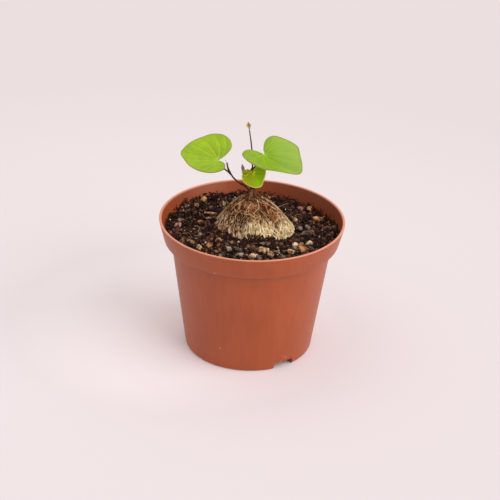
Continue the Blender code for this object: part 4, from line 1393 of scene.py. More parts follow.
@dataclass
class PottingSoil:
    """Peat in the pot, sunk a little in front of the caudex, under thousands of loose grains."""

    pot: NurseryPot
    caudex: Caudex
    level: float = 80.3
    saddle: float = 2.8
    crumb: float = 0.9
    crumb_size: float = 6.0
    lump_sizes: Pair = (2.2, 5.0)
    lump_heights: Pair = (1.0, 1.7)
    patch_size: float = 8.0
    patchiness: float = 0.5
    dip_depth: float = 0.7
    dip_reach: float = 7.0
    front_edge: Pair = (-28.0, -8.0)
    gap: float = 0.3
    columns: int = 300
    rows: int = 96
    crumbs_clinging: int = 1300

    def beyond(self, x: Points, y: Points) -> tuple[Points, Points]:
        """Return how far places lie outside the caudex, in mm, and how much they face the back."""
        away = np.stack([x - self.caudex.centre[0], y - self.caudex.centre[1]], axis=1)
        distance = np.maximum(np.hypot(away[:, 0], away[:, 1]), 1e-6)
        return distance - self.caudex.outline(np.arctan2(away[:, 1], away[:, 0])), away[:, 1] / distance

    def height_at(self, x: Points, y: Points) -> Points:
        """Work out the soil's height without its lumps.

        Args:
            x: places to the right of the pot's axis, in mm.
            y: places behind it, in mm.

        Returns:
            Heights in mm.
        """
        flat = np.stack([x, y, np.zeros_like(x)], axis=1)
        saddle = -self.saddle * x * y / self.pot.rim_radius ** 2
        crumb = self.crumb * noise_at(flat, self.crumb_size)
        beyond, back = self.beyond(x, y)
        nearness = np.exp(-(np.maximum(beyond, 0.0) / self.dip_reach) ** 2)
        return self.level + saddle + crumb - self.dip_depth * nearness * (0.5 - 0.5 * back)

    def lumpy_height_at(self, x: Points, y: Points) -> Points:
        """Return the soil's height at places with its clods and the gaps between them, in mm."""
        flat = np.stack([x, y, np.zeros_like(x)], axis=1)
        clods = zip(self.lump_sizes, self.lump_heights)
        return self.height_at(x, y) + sum(tall * (lumps_at(flat, size) - 0.7) for size, tall in clods)

    def build(self) -> Piece:
        """Wrap a fine grid round the soil: bottom, side, lumpy top and the caudex's hole.

        Returns:
            The soil.
        """
        floor = self.pot.floor + self.gap
        sides = (floor, floor, self.pot.shoulder, self.pot.inner_turn)
        depths = (0.3, -1.0, -0.5 * self.caudex.depth, -self.caudex.depth, -self.caudex.depth - self.gap)
        top_rows = self.rows - len(sides) - len(depths)

        def form(across: Points, along: Points) -> Points:
            """Place the grid's points on the soil."""
            row = np.round(along * self.rows).astype(int)
            turn = FULL_TURN * (across % 1.0)
            foot = self.caudex.surface(turn, np.zeros_like(turn), out=-0.2)
            part = np.clip((row - len(sides)) / top_rows, 0.0, 1.0)[:, None]
            rim = round_axis(self.pot.inner_radius(self.level) - self.gap, turn)
            points = rim * (1.0 - part) + foot * part
            points[:, 2] = self.lumpy_height_at(points[:, 0], points[:, 1])
            for k, height in enumerate(sides):
                radius = self.pot.inner_radius(height) - self.gap if k else 0.0
                points[row == k] = round_axis(radius, turn[row == k], height)
            for k, depth in enumerate(depths, self.rows - len(depths) + 1):
                points[row == k] = self.caudex.surface(turn[row == k], np.full((row == k).sum(), depth),
                                                       out=self.gap)
            points[row == self.rows, :2] = self.caudex.centre
            return points

        soil = wrap_grid("peat_bed", self.columns, self.rows, form)
        store(soil, "tone", 0.25 + 0.4 * noise_at(read_points(soil), 2.2, 5.0))
        close_up(soil)
        return soil

    def spots(self, draw: np.random.Generator, grains: Grains) -> tuple[Points, Points]:
        """Draw places on the soil between the caudex and the pot.

        Args:
            draw: the seeded generator.
            grains: the kind of grain.

        Returns:
            Places in mm, clear of the larger chips, and a size for each.
        """
        wall = self.pot.inner_radius(self.level)
        count, (smallest, largest) = grains.count, grains.size
        places, sizes = np.empty((0, 2)), np.empty(0)
        boxes = [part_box(node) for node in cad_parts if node.startswith(("chip_", "stick_"))]
        while len(places) < count:
            radius = wall * np.sqrt(draw.random(2 * count))
            spot = round_axis(radius, draw.uniform(0.0, FULL_TURN, 2 * count))[:, :2]
            girth = smallest + (largest - smallest) * draw.random(2 * count) ** 2
            free = (self.beyond(spot[:, 0], spot[:, 1])[0] > -0.3) & (radius < wall - 0.6 * girth)
            free &= draw.random(2 * count) < 1.0 - grains.front * smooth_step(*self.front_edge, spot[:, 1])
            for low, high in boxes:
                middle = np.array(((low + high) / 2)[:2]) / MM
                half = np.array(((high - low) / 2)[:2]) / MM
                free &= (np.abs(spot - middle) > half * 0.9 + 0.6 * girth[:, None]).any(axis=1)
            places = np.vstack([places, spot[free]])
            sizes = np.concatenate([sizes, girth[free]])
        return places[:count], sizes[:count]

    def strew(self, grains: Grains) -> None:
        """Strew one kind of grain over the soil and hand it over.

        Args:
            grains: what they are, how many and how large.
        """
        draw = np.random.default_rng(random.Random(grains.name).randrange(2 ** 32))
        spots, sizes = self.spots(draw, grains)
        places = np.column_stack([spots, self.lumpy_height_at(spots[:, 0], spots[:, 1])])
        places[:, 2] += grains.lift * sizes + draw.uniform(-0.25, 0.45, len(sizes))
        scale = sizes[:, None] * draw.uniform(0.75, 1.2, (len(sizes), 3))
        turns = random_turns(draw, len(sizes), 0.9)
        patches = self.patchiness * noise_at(places * (1.0, 1.0, 0.0), self.patch_size, 50.0)
        tones = np.clip(draw.normal(*grains.tone, len(sizes)) + patches, 0.0, 1.0)
        piece = scatter(grains.name, grain_patterns(grains.build), places, scale, turns, tones)
        deliver(piece, grains.finish.material())

    def cling(self) -> None:
        """Stick small dark crumbs to the foot of the caudex and along the pot's wall."""
        draw = np.random.default_rng(SEED + 5)
        count = self.crumbs_clinging
        turn = draw.uniform(-math.pi, math.pi, 20 * count)
        rise = draw.uniform(-2.0, 6.0, 20 * count)
        top = self.caudex.line_at(self.caudex.peat_line, turn)
        wet = np.flatnonzero(rise < top + draw.normal(0.3, 0.6, 20 * count))[:count]
        on_cork = self.caudex.surface(turn[wet], rise[wet], out=0.1)
        around = draw.uniform(-math.pi, math.pi, count)
        climb = np.abs(draw.normal(0.0, 1.3, count))
        wall = np.array([self.pot.inner_radius(self.level + up) for up in climb]) - 0.3
        on_wall = round_axis(wall, around)
        on_wall[:, 2] = self.height_at(on_wall[:, 0], on_wall[:, 1]) + climb
        places = np.vstack([on_cork, on_wall])
        sizes = draw.uniform(0.25, 0.75, 2 * count)[:, None] * np.ones(3)
        tones = np.clip(draw.normal(0.4, 0.2, 2 * count), 0.0, 1.0)
        piece = scatter("clinging_crumbs", grain_patterns(Build.LUMP), places, sizes,
                        random_turns(draw, 2 * count, math.pi), tones)
        deliver(piece, LooseMineral("clinging_peat", 0.85).material())

    def dress(self, soil: Piece) -> None:
        """Give the bed its peat and hand it over."""
        peat = LooseMineral("peat", 0.95, tones=("#080302", "#190C07", "#3C2114"), grain=0.8)
        deliver(soil, peat.material(), ["soil"], crease=50)

    def strew_all(self) -> None:
        """Strew every kind of grain, from dark peat to white specks."""
        dark = LooseMineral("peat_crumbs", 0.85)
        brown, grey, tan, rust = (
            LooseMineral(name, 0.8, tones=tones, contrast=0.9)
            for name, tones in (("bark_bits", ("#180B07", "#553425", "#A07A5E")),
                                ("grey_grit", ("#241B16", "#5E5047", "#968679")),
                                ("tan_grit", ("#543A22", "#9A744A", "#D2B284")),
                                ("rust_grit", ("#3C1C10", "#84492F", "#BC7F5C"))))
        white = LooseMineral("white_grit", 0.7, tones=("#AFA496", "#DDD5CA", "#FBF8F4"))
        kinds = (
            Grains("peat_crumbs", Build.LUMP, 4300, (0.45, 1.7), dark, Slot.SOIL, tone=(0.30, 0.26)),
            Grains("peat_flakes", Build.FLAKE, 1300, (0.7, 2.0), dark, Slot.SOIL, 0.3, (0.36, 0.3)),
            Grains("bark_bits", Build.SLIVER, 340, (0.5, 1.6), brown, Slot.TWIG, 0.45),
            Grains("brown_crumbs", Build.LUMP, 300, (0.5, 1.4), brown, Slot.RUST, 0.35),
            Grains("brown_gravel", Build.LUMP, 70, (1.2, 2.6), brown, Slot.RUST, 0.35, (0.65, 0.2), 0.85),
            Grains("grey_grit", Build.LUMP, 150, (0.5, 1.2), grey, Slot.GREY, 0.4),
            Grains("grey_gravel", Build.LUMP, 60, (1.1, 2.3), grey, Slot.GREY, 0.35, front=0.85),
            Grains("tan_grit", Build.LUMP, 130, (0.4, 1.0), tan, Slot.TAN, 0.45),
            Grains("tan_gravel", Build.LUMP, 40, (1.1, 2.1), tan, Slot.TAN, 0.35, front=0.85),
            Grains("rust_grit", Build.LUMP, 80, (0.5, 1.3), rust, Slot.RUST, 0.4),
            Grains("white_grit", Build.LUMP, 125, (0.35, 0.75), white, Slot.PALE, 0.9),
        )
        for grains in kinds:
            self.strew(grains)


@dataclass
class LooseChips:
    """The larger chips of grit, clay and bark, and two bits of twig, worn and pitted."""

    edge: float = 0.08
    skin: float = 0.15
    pits: Line = ((3.0, 0.8), (1.1, 0.25), (0.5, 0.12))
    swelling: float = 0.6
    facets: int = 10
    facet_reach: Pair = (0.55, 0.92)
    twig_relief: float = 0.3
    # How much paler upward faces are, and how much darker each chip is towards its bottom, partly peat stain
    # and partly painted shade
    dust: float = 0.16
    stain: float = 0.4
    stain_edge: Pair = (0.3, 0.8)

    def break_faces(self, points: Points, node: str) -> Points:
        """Flatten a chip's bulges to broken faces.

        Args:
            points: the chip's points in mm.
            node: the chip's node, which seeds where the faces lie.

        Returns:
            The moved points.
        """
        draw = np.random.default_rng(random.Random(node).randrange(2 ** 32))
        middle = points.mean(axis=0)
        for facing in draw.normal(size=(self.facets, 3)):
            facing /= np.linalg.norm(facing)
            reach = (points - middle) @ facing
            over = np.clip(reach - draw.uniform(*self.facet_reach) * reach.max(), 0.0, None)
            points = points - over[:, None] * facing
        return points

    def wear(self, node: str) -> Piece:
        """Swell, break and pit a copy of a packed chip.

        Args:
            node: the chip's node.

        Returns:
            The worn chip, in the same place.
        """
        chip = bpy.data.objects.new(f"{node}_worn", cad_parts[node].data.copy())
        bpy.context.scene.collection.objects.link(chip)
        close_up(chip, distance=0.01)
        with editing(chip):
            bpy.ops.mesh.bevel(offset=self.edge * MM, segments=1, affect="EDGES")
        apply_modifier(chip, "REMESH", mode="VOXEL", voxel_size=self.skin * MM)
        points = read_points(chip)
        outward = np.array([vertex.normal for vertex in chip.data.vertices])
        relief = sum(depth * noise_at(points, size, 3.0) for size, depth in self.pits)
        height = (points[:, 2] - points[:, 2].min()) / np.ptp(points[:, 2])
        patch = noise_at(points, 2.0, 8.0)
        # Tone: painted shade in the pits, painted highlight on the bumps, paler upward faces and random
        # patches
        tone = 0.46 + 1.1 * relief + self.dust * outward[:, 2] + 0.5 * patch
        if node.startswith("stick"):
            write_points(chip, points + self.twig_relief * outward * relief[:, None])
        else:
            # Darker towards each chip's bottom: partly peat stain near the soil, partly painted contact shade
            tone -= self.stain * (1.0 - smooth_step(*self.stain_edge, height + 0.4 * patch))
            write_points(chip, self.break_faces(points + outward * (relief + self.swelling)[:, None], node))
        store(chip, "tone", np.clip(tone, 0.0, 1.0))
        return chip

    def finishes(self) -> dict[str, LooseMineral]:
        """List the chips' finishes.

        Returns:
            The finish for each colour in the nodes' names, for some chips by colour and place, and for twigs.
        """
        rows = (("cream_chip", 0.8, ("#7A5232", "#B8926A", "#E4C8A2"), "cream white yellow"),
                ("tan_chip", 0.85, ("#3E2716", "#A57E55", "#DDC096"), "beige tan grey_cream"),
                ("grey_chip", 0.85, ("#1E1613", "#685648", "#A89682"), "grey"),
                ("rust_chip", 0.85, ("#2C150B", "#744228", "#B08058"), "red brown rust tan_left"),
                ("orange_chip", 0.8, ("#5A2A12", "#AD6A3C", "#D9A273"), "orange ochre"),
                ("pink_chip", 0.85, ("#3E2018", "#986A5C", "#CCA090"), "pink"),
                ("drab_chip", 0.85, ("#261A14", "#6C574A", "#9E887A"), "grey_right"),
                ("clay_chip", 0.85, ("#4A2810", "#A06C3C", "#D0A06C"), "tan_back rust_back"),
                ("slate_chip", 0.85, ("#18110E", "#483B33", "#7E6F65"), "brown_right grey_low grey_sunk"),
                ("dry_twig", 0.85, ("#5C3222", "#A86E50", "#D8AA8A"), "stick"))
        return {word: LooseMineral(name, roughness, tones=tones)
                for name, roughness, tones, words in rows for word in words.split()}

    def build(self) -> None:
        """Wear every chip and twig, and hand each over in its own colours."""
        finishes = self.finishes()
        made: dict[str, bpy.types.Material] = {}
        for node in sorted(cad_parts):
            family, _, place = node.partition("_")
            if family not in ("chip", "stick"):
                continue
            words = (family, place, place.split("_")[0])
            finish = finishes[next(word for word in words if word in finishes)]
            if finish.name not in made:
                made[finish.name] = finish.material()
            deliver(self.wear(node), made[finish.name], [node], crease=45)


# Vine, leaves and buds


@dataclass(frozen=True)
class Shoot:
    """One stretch of the vine: its route, its radius and youth at both ends, and where its nodes swell."""

    route: tuple[Triple, ...]
    radii: Pair
    age: Pair
    nodes: tuple[float, ...] = ()


@dataclass
class Vine:
    """The trunk, the tall shoot, the left branch with its dead twig, and the leaf stalks, grown as one."""

    trunk: Shoot = Shoot(
        ((-0.3, 8.0, 99.5), (-0.6, 8.0, 104.4), (-0.9, 8.4, 109.0), (-1.3, 9.0, 113.5), (-1.4, 9.6, 117.5),
         (-1.2, 10.0, 120.2)), (1.5, 0.85), (0.0, 0.35), (0.45, 0.8))
    tall: Shoot = Shoot(
        ((-1.4, 9.6, 118.0), (-1.0, 10.2, 121.4), (-1.2, 10.8, 127.5), (-1.9, 11.0, 133.7),
         (-2.5, 10.8, 138.6), (-3.2, 10.4, 143.2), (-3.8, 10.0, 147.0)), (0.6, 0.4), (0.4, 0.55))
    left: Shoot = Shoot(
        ((-1.0, 8.0, 103.6), (-2.9, 8.0, 106.0), (-5.7, 8.0, 108.8), (-9.3, 8.0, 110.9), (-12.6, 8.0, 113.8),
         (-15.4, 8.0, 117.4), (-18.6, 8.6, 119.6), (-21.6, 8.9, 122.6), (-22.9, 8.3, 125.3)), (0.7, 0.48),
        (0.1, 0.75), (0.3, 0.62))
    twig: Shoot = Shoot(
        ((-15.2, 8.0, 117.0), (-16.2, 7.9, 119.6), (-16.9, 7.7, 122.0), (-17.4, 7.6, 124.7)), (0.75, 0.45),
        (0.3, 0.3), (0.1,))
    right: Shoot = Shoot(
        ((-1.2, 9.8, 118.5), (0.8, 9.8, 121.6), (3.2, 9.4, 125.2), (6.2, 8.3, 129.6)), (0.8, 0.5),
        (0.3, 0.8), (0.1,))
    small: Shoot = Shoot(
        ((-1.3, 9.4, 116.9), (-0.9, 8.5, 117.6), (-0.6, 7.75, 117.9)), (0.55, 0.5), (0.5, 0.9))
    step: float = 0.5
    skin: float = 0.16
    swelling: float = 0.22
    swelling_length: float = 0.9
    bark_size: float = 0.9
    bark_relief: float = 0.22

    def build(self) -> Piece:
        """Model the stretches as tapering strands with swollen nodes, and grow them together.

        Returns:
            The vine.
        """
        routes, radii, ages = [], [], []
        for shoot in (self.trunk, self.tall, self.left, self.twig, self.right, self.small):
            knots = np.asarray(shoot.route)
            length = np.linalg.norm(np.diff(knots, axis=0), axis=1).sum()
            share = np.linspace(0.0, 1.0, max(6, int(length / self.step)))
            radius = shoot.radii[0] + (shoot.radii[1] - shoot.radii[0]) * share
            for place in shoot.nodes:
                away = (share - place) * length / self.swelling_length
                radius = radius + self.swelling * np.exp(-away ** 2)
            routes.append(curve_through(shoot.route, share))
            radii.append(radius)
            ages.append(shoot.age[0] + (shoot.age[1] - shoot.age[0]) * share)
        vine = round_strands("vine", routes, radii, bevel=3)
        apply_modifier(vine, "REMESH", mode="VOXEL", voxel_size=self.skin * MM)
        apply_modifier(vine, "SMOOTH", factor=0.5, iterations=2)
        bark = bpy.data.textures.new("bark_scales", "CLOUDS")
        bark.noise_scale = self.bark_size * MM
        apply_modifier(vine, "DISPLACE", texture=bark, texture_coords="LOCAL", mid_level=0.5,
                       strength=self.bark_relief * MM)
        points = read_points(vine)
        along, age = np.vstack(routes), np.concatenate(ages)
        nearest = [int(np.argmin(((along - point) ** 2).sum(axis=1))) for point in points]
        store(vine, "age", age[nearest])
        return vine

    def dress(self, vine: Piece) -> None:
        """Give the vine its bark and hand it over."""
        deliver(vine, VineBark().material(), ["stem"], crease=60)


@dataclass
class HeartLeaf:
    """A thin heart-shaped blade that fans out from its notch, folded at the midrib.

    The reach lists how far the blade goes from the notch in each direction: degrees from the tip's direction,
    and mm. The droop and the cup are how far the blade curves, in mm, at the curve's reach from the notch.
    """

    node: str
    notch: Triple
    facing: Pair
    spin: float
    folds: Pair
    droop: float
    cup: float
    reach: Line
    finish: LivingLeaf
    slot: Slot
    curve_reach: float = 30.0
    fold_round: float = 1.5
    veins: tuple[float, ...] = (-128.0, -92.0, -56.0, -27.0, 0.0, 27.0, 56.0, 92.0, 128.0)
    vein_width: float = 0.5
    vein_depth: float = 0.18
    vein_bow: float = 0.34
    quilting: float = 0.22
    quilt_deg: float = 16.0
    ripple: float = 0.22
    ripple_size: float = 6.0
    margin_width: float = 0.8
    # Painted shade and painted light across the blade: strength, direction in degrees and softness in mm
    dusk: float = 0.0
    dusk_deg: float = 0.0
    dusk_width: float = 14.0
    thickness: float = 0.42
    columns: int = 150
    rows: int = 34

    def axes(self) -> tuple[Points, Points, Points]:
        """Turn the blade's angles into directions.

        Returns:
            Towards the tip, across the blade and out of its upper face.
        """
        azimuth, elevation = (math.radians(angle) for angle in self.facing)
        spin = math.radians(self.spin)
        normal = Vector((math.cos(elevation) * math.cos(azimuth), math.cos(elevation) * math.sin(azimuth),
                         math.sin(elevation)))
        level = Vector((0.0, 0.0, 1.0)).cross(normal).normalized()
        tipward = math.cos(spin) * level + math.sin(spin) * normal.cross(level)
        return np.array(tipward), np.array(normal.cross(tipward)), np.array(normal)

    def vein_mark(self, angle: Points, share: Points, far: Points) -> tuple[Points, Points]:
        """Say where the main veins run: out of the notch, bowed towards the tip.

        Args:
            angle: directions in degrees from the tip.
            share: the share of the blade's reach.
            far: the distance from the notch in mm.

        Returns:
            1 on a vein falling to 0 beside it, and 1 halfway between two veins falling to 0 at each.
        """
        bow = 1.0 - self.vein_bow * share ** 1.6
        home = angle / bow
        nearest = np.abs(home[:, None] - np.array(self.veins)[None]).min(axis=1)
        aside = far * np.sin(np.radians(np.clip(nearest * bow, 0.0, 90.0)))
        width = self.vein_width * (1.0 - 0.6 * share)
        between = np.sin(np.clip(nearest / self.quilt_deg, 0.0, 1.0) * math.pi / 2) ** 2
        return np.exp(-(aside / width) ** 2), between

    def build(self) -> Piece:
        """Fan a grid out from the notch, sink its veins and give it its thickness.

        Returns:
            The leaf.
        """
        tipward, across_blade, normal = self.axes()
        marks: dict[str, Points] = {}

        def form(across: Points, along: Points) -> Points:
            """Place the grid's points on the upper face."""
            rim = curve_through(self.reach, across)
            angle, reach = rim[:, 0], rim[:, 1]
            share = along ** 0.85
            far = reach * share
            u, v = far * np.cos(np.radians(angle)), far * np.sin(np.radians(angle))
            fold = np.tan(np.radians(np.where(v > 0, self.folds[0], self.folds[1])))
            lift = (fold * (np.sqrt(v * v + self.fold_round ** 2) - self.fold_round)
                    + (self.droop * u * u + self.cup * v * v) / self.curve_reach)
            vein, between = self.vein_mark(angle, share, far)
            fade = np.minimum(1.0, far / 3.0) * (1.0 - smooth_step(0.8, 1.0, share))
            lift += fade * (self.quilting * (between - 0.5) - self.vein_depth * vein)
            flat = np.stack([u, v, np.zeros_like(u)], axis=1)
            lift += self.ripple * share ** 4 * noise_at(flat, self.ripple_size, 2.0)
            ends = np.minimum(across, 1.0 - across) * self.columns
            edge = np.minimum(reach - far, 0.3 * ends)
            side = math.radians(self.dusk_deg)
            marks["margin"] = 1.0 - smooth_step(0.3 * self.margin_width, self.margin_width, edge)
            marks["vein"] = vein * (0.85 - 0.45 * share)
            # Painted shade towards one side of the blade, painted light towards the other
            marks["dusk"] = self.dusk * np.tanh((u * math.cos(side) + v * math.sin(side)) / self.dusk_width)
            marks["u"], marks["v"] = u, v
            return (np.asarray(self.notch) + u[:, None] * tipward + v[:, None] * across_blade
                    + lift[:, None] * normal)

        leaf = wrap_grid(f"{self.node}_blade", self.columns, self.rows, form)
        for name in ("margin", "vein", "dusk"):
            store(leaf, name, marks[name])
        flat_map = leaf.data.uv_layers["UVMap"]
        corners = np.empty(len(leaf.data.loops), np.int32)
        leaf.data.loops.foreach_get("vertex_index", corners)
        flat_map.data.foreach_set("uv", np.stack([marks["u"][corners], marks["v"][corners]], axis=1).ravel())
        with editing(leaf):
            bpy.ops.mesh.remove_doubles(threshold=0.002 * MM)
        apply_modifier(leaf, "SOLIDIFY", thickness=self.thickness * MM, offset=0.0)
        with editing(leaf):
            bpy.ops.mesh.normals_make_consistent(inside=False)
        apply_modifier(leaf, "BEVEL", width=0.3 * self.thickness * MM, segments=2, limit_method="ANGLE",
                       angle_limit=math.radians(60))
        return leaf

    def dress(self, leaf: Piece) -> None:
        """Give the leaf its green and hand it over."""
        deliver(leaf, self.finish.material(), [self.node], crease=50)


def heart_leaves() -> list[HeartLeaf]:
    """Set out the leaves, each with its own outline and green.

    Returns:
        The two open leaves and the small hanging one.
    """
    # Painted shade on the right leaf's front lobe; painted shadow of the right leaf on the small leaf's upper
    # right
    deep = LivingLeaf("shaded_leaf", ior=1.22, blade="#7CA00A", shade="#6E920A", dusk="#84941A",
                      glow="#C2DA74", vein="#9ABC34")
    olive = LivingLeaf("young_leaf", ior=1.25, blade="#9AC204", shade="#8CB402", dusk="#789600",
                       glow="#B0B404", vein="#A6B80A", margin="#D2D060")
    left = HeartLeaf(
        "leaf_left", (-23.1, 8.0, 126.2), (-101.6, 63.9), 177.5, (21.0, 10.5), 0.09, -0.06,
        ((-140, 2.2), (-131, 6.6), (-122, 11.8), (-106, 16.0), (-85, 19.2), (-62, 20.3), (-45, 20.5),
         (-25, 22.2), (-8, 24.0), (2, 24.4), (18, 21.2), (38, 19.2), (56, 17.4), (90, 14.9), (110, 13.1),
         (128, 11.0), (142, 8.0), (154, 5.2)), LivingLeaf(), Slot.LEAF)
    right = HeartLeaf(
        "leaf_right", (6.6, 8.0, 130.6), (-85.5, 65.0), -46.5, (16.9, 39.4), 0.22, -0.12,
        ((-170, 2.4), (-158, 5.6), (-142, 8.3), (-126, 11.7), (-112, 15.3), (-98, 19.0), (-80, 21.5),
         (-62, 23.2), (-48, 24.6), (-36, 23.6), (-22, 23.8), (-8, 26.8), (3, 29.4), (12, 27.2), (24, 24.2),
         (38, 22.0), (54, 21.2), (72, 18.6), (90, 16.5), (112, 14.9), (126, 12.6), (138, 8.4), (146, 3.8)),
        deep, Slot.LEAF, dusk=0.45, dusk_deg=-120.0)
    small = HeartLeaf(
        "leaf_small", (-0.5, 6.8, 117.8), (-88.0, 32.0), -82.0, (-8.0, -8.0), -0.3, 0.0,
        ((-104, 2.2), (-100, 4.8), (-95, 6.6), (-86, 7.3), (-75, 7.5), (-63, 8.0), (-48, 7.9), (-30, 7.9),
         (-10, 8.5), (4, 9.1), (18, 9.5), (28, 9.6), (41, 8.7), (57, 8.0), (80, 8.1), (100, 8.8), (115, 8.9),
         (128, 7.4), (140, 5.6), (152, 4.6), (166, 2.6)), olive, Slot.YOUNG_LEAF,
        veins=(-60.0, -28.0, 5.0, 38.0, 72.0, 108.0), vein_width=0.3, vein_depth=0.1, quilting=0.14,
        ripple=0.1, margin_width=0.7, dusk=0.8, dusk_deg=120.0, dusk_width=5.0, columns=90, rows=20)
    return [left, right, small]


@dataclass
class ShootTip:
    """The tuft of new growth: small folded leaflets that stand round its middle."""

    length: float = 2.7
    width: float = 3.0
    thickness: float = 0.22
    fold: float = 0.55
    leaflets: int = 36
    rings: Pair = (0.3, 0.8)
    spread: Pair = (0.72, 0.6)
    sag: float = 1.1

    def pattern(self) -> Piece:
        """Model one folded, pointed leaflet from a grid.

        Returns:
            The leaflet, standing along +Z from the origin.
        """

        def form(across: Points, along: Points) -> Points:
            """Place the grid's points on a folded leaflet."""
            side = 2.0 * across - 1.0
            girth = 0.5 * self.width * np.sin(math.pi * along ** 0.8) ** 0.8 + 0.05
            x = side * girth
            y = self.fold * np.abs(x) + 0.5 * along ** 2 - 0.1 * np.cos(5.0 * side)
            return np.stack([x, y, along * self.length], axis=1)

        leaflet = wrap_grid("leaflet", 6, 6, form)
        apply_modifier(leaflet, "SOLIDIFY", thickness=self.thickness * MM, offset=0.0)
        with editing(leaflet):
            bpy.ops.mesh.normals_make_consistent(inside=False)
            bpy.ops.mesh.quads_convert_to_tris()
        return leaflet

    def build(self) -> Piece:
        """Stand the leaflets round the tuft's middle, leaning outwards.

        Returns:
            The tuft.
        """
        low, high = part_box("shoot_tip")
        middle = np.array((low + high) / 2) / MM
        half = np.array((high - low) / 2) / MM
        draw = np.random.default_rng(SEED + 9)
        places, turns, sizes = [], [], []
        for k in range(self.leaflets):
            around = FULL_TURN * k / self.leaflets + draw.uniform(-0.2, 0.2)
            ring = self.rings[1] if k % 3 else self.rings[0]
            offset = np.array([self.spread[0] * ring * half[0] * math.cos(around),
                               self.spread[1] * ring * half[1] * math.sin(around), 0.0])
            places.append(middle + offset + (0.0, 0.0, -self.sag + draw.uniform(-0.6, 0.6)))
            lean = 0.6 * ring + draw.uniform(-0.2, 0.2) + (1.0 if k % 2 else 0.0)
            turns.append(Matrix.Rotation(around - math.pi / 2, 3, "Z") @ Matrix.Rotation(-lean, 3, "X"))
            sizes.append(np.full(3, draw.uniform(0.75, 1.15)))
        return scatter("new_leaflets", [self.pattern()], np.array(places), np.array(sizes), np.array(turns),
                       draw.uniform(0.2, 0.9, self.leaflets))

    def dress(self, tuft: Piece) -> None:
        """Give the tuft its yellow green and hand it over."""
        finish = PlainFibre("new_growth", 0.5, tones=("#F2EE38", "#98AA08"), grain=1.2)
        deliver(tuft, finish.material(), ["shoot_tip"], crease=60)


@dataclass
class Bud:
    """A dry bud: a creased spindle, with pointed scales round it where it has them.

    The scales list their directions round the bud in degrees. Each starts higher than the last and reaches
    outwards and upwards.
    """

    node: str
    base: Triple
    tip: Triple
    radius: float
    scales: tuple[float, ...] = ()
    scale_radius: float = 0.75
    scale_flatness: float = 0.5
    scale_start: Pair = (0.35, 0.3)
    scale_reach: Pair = (2.5, 3.0)
    creases: int = 7
    crease_depth: float = 0.10

    def spindle(self, name: str, base: Points, tip: Points, radius: float, flat: float = 1.0) -> Piece:
        """Wrap a grid round a spindle, blunt at its base and pointed at its tip.

        Args:
            name: the piece's name.
            base: where it starts, in mm.
            tip: where it ends, in mm.
            radius: its greatest radius, in mm.
            flat: how thick it is across, as a share of its width.

        Returns:
            The closed spindle.
        """
        turn = np.array(Vector(tip - base).to_track_quat("Z", "Y").to_matrix())
        length = float(np.linalg.norm(tip - base))

        def form(across: Points, along: Points) -> Points:
            """Place the grid's points on the spindle."""
            around = FULL_TURN * (across % 1.0)
            girth = radius * (0.45 + 2.2 * along - 3.0 * along ** 2 + 0.43 * along ** 3)
            crease = 1.0 + self.crease_depth * np.cos(self.creases * around + 4 * along)
            girth = np.maximum(girth, 0.05 * radius) * crease
            girth[(along == 0.0) | (along == 1.0)] = 0.0
            local = np.stack([girth * np.cos(around), flat * girth * np.sin(around), along * length], axis=1)
            return base + local @ turn.T

        spindle = wrap_grid(name, 28, 22, form)
        close_up(spindle)
        return spindle

    def build(self) -> None:
        """Model the bud and its scales and hand them over."""
        base, tip = np.asarray(self.base), np.asarray(self.tip)
        core = self.spindle(f"{self.node}_core", base, tip, self.radius)
        husk = PlainFibre(f"{self.node}_husk", 0.75, tones=("#B89A80", "#5E3E28"), grain=1.8)
        deliver(core, husk.material(), [self.node], crease=60)
        if not self.scales:
            return
        up = (tip - base) / np.linalg.norm(tip - base)
        level = np.cross(up, (0.0, 1.0, 0.0))
        level /= np.linalg.norm(level)
        pieces = []
        for k, around in enumerate(np.radians(self.scales)):
            out = level * math.cos(around) + np.cross(up, level) * math.sin(around)
            start = base + up * (self.scale_start[0] + self.scale_start[1] * k)
            end = start + out * self.scale_reach[0] + up * self.scale_reach[1]
            pieces.append(self.spindle(f"scale_{k}", start, end, self.scale_radius, self.scale_flatness))
        select_only(*pieces)
        bpy.ops.object.join()
        scales = name_active(f"{self.node}_scales")
        dry = PlainFibre("dry_bract", 0.7, tones=("#FAF0C6", "#DAC78A"), grain=1.2)
        deliver(scales, dry.material(), crease=60)


@dataclass
class NeckRoots:
    """Woody strands that flare from the trunk's foot over the caudex's crown.

    The flare lists heights in mm and how far out from the foot each strand is there.
    """

    caudex: Caudex
    foot: Pair = (-0.7, 8.1)
    count: int = 15
    flare: Line = ((108.6, 1.25), (106.4, 1.5), (104.6, 2.0), (103.2, 2.8))
    radius: Pair = (0.28, 0.5)
    crown_rise: float = 21.2
    reach: Pair = (14.0, 19.5)
    sunk: Triple = (-0.2, -0.1, 0.5)

    def build(self) -> None:
        """Run each strand from the trunk over the crown, sunk half into both, and hand them over."""
        draw = np.random.default_rng(SEED + 21)
        share = np.linspace(0.0, 1.0, 24)
        routes, radii = [], []
        for k in range(self.count):
            around = FULL_TURN * k / self.count + draw.uniform(-0.15, 0.15)
            drop = draw.uniform(0.0, 1.8)
            knots = [(self.foot[0] + out * math.cos(around), self.foot[1] + out * math.sin(around),
                      height - drop) for height, out in self.flare]
            end = draw.uniform(*self.reach)
            rises = np.array([self.crown_rise, 0.5 * (self.crown_rise + end), end])
            sway = around + draw.uniform(-0.5, 0.5) * np.array([0.3, 0.6, 1.0])
            knots += list(self.caudex.surface(sway, rises, out=-np.array(self.sunk)))
            routes.append(curve_through(knots, share))
            radii.append(draw.uniform(*self.radius) * (0.7 + 0.5 * share - 0.8 * share ** 3))
        strands = round_strands("neck_roots", routes, radii, bevel=1)
        finish = PlainFibre("neck_bark", 0.85, tones=("#96694A", "#3C2012"), grain=2.2)
        deliver(strands, finish.material(), crease=60)


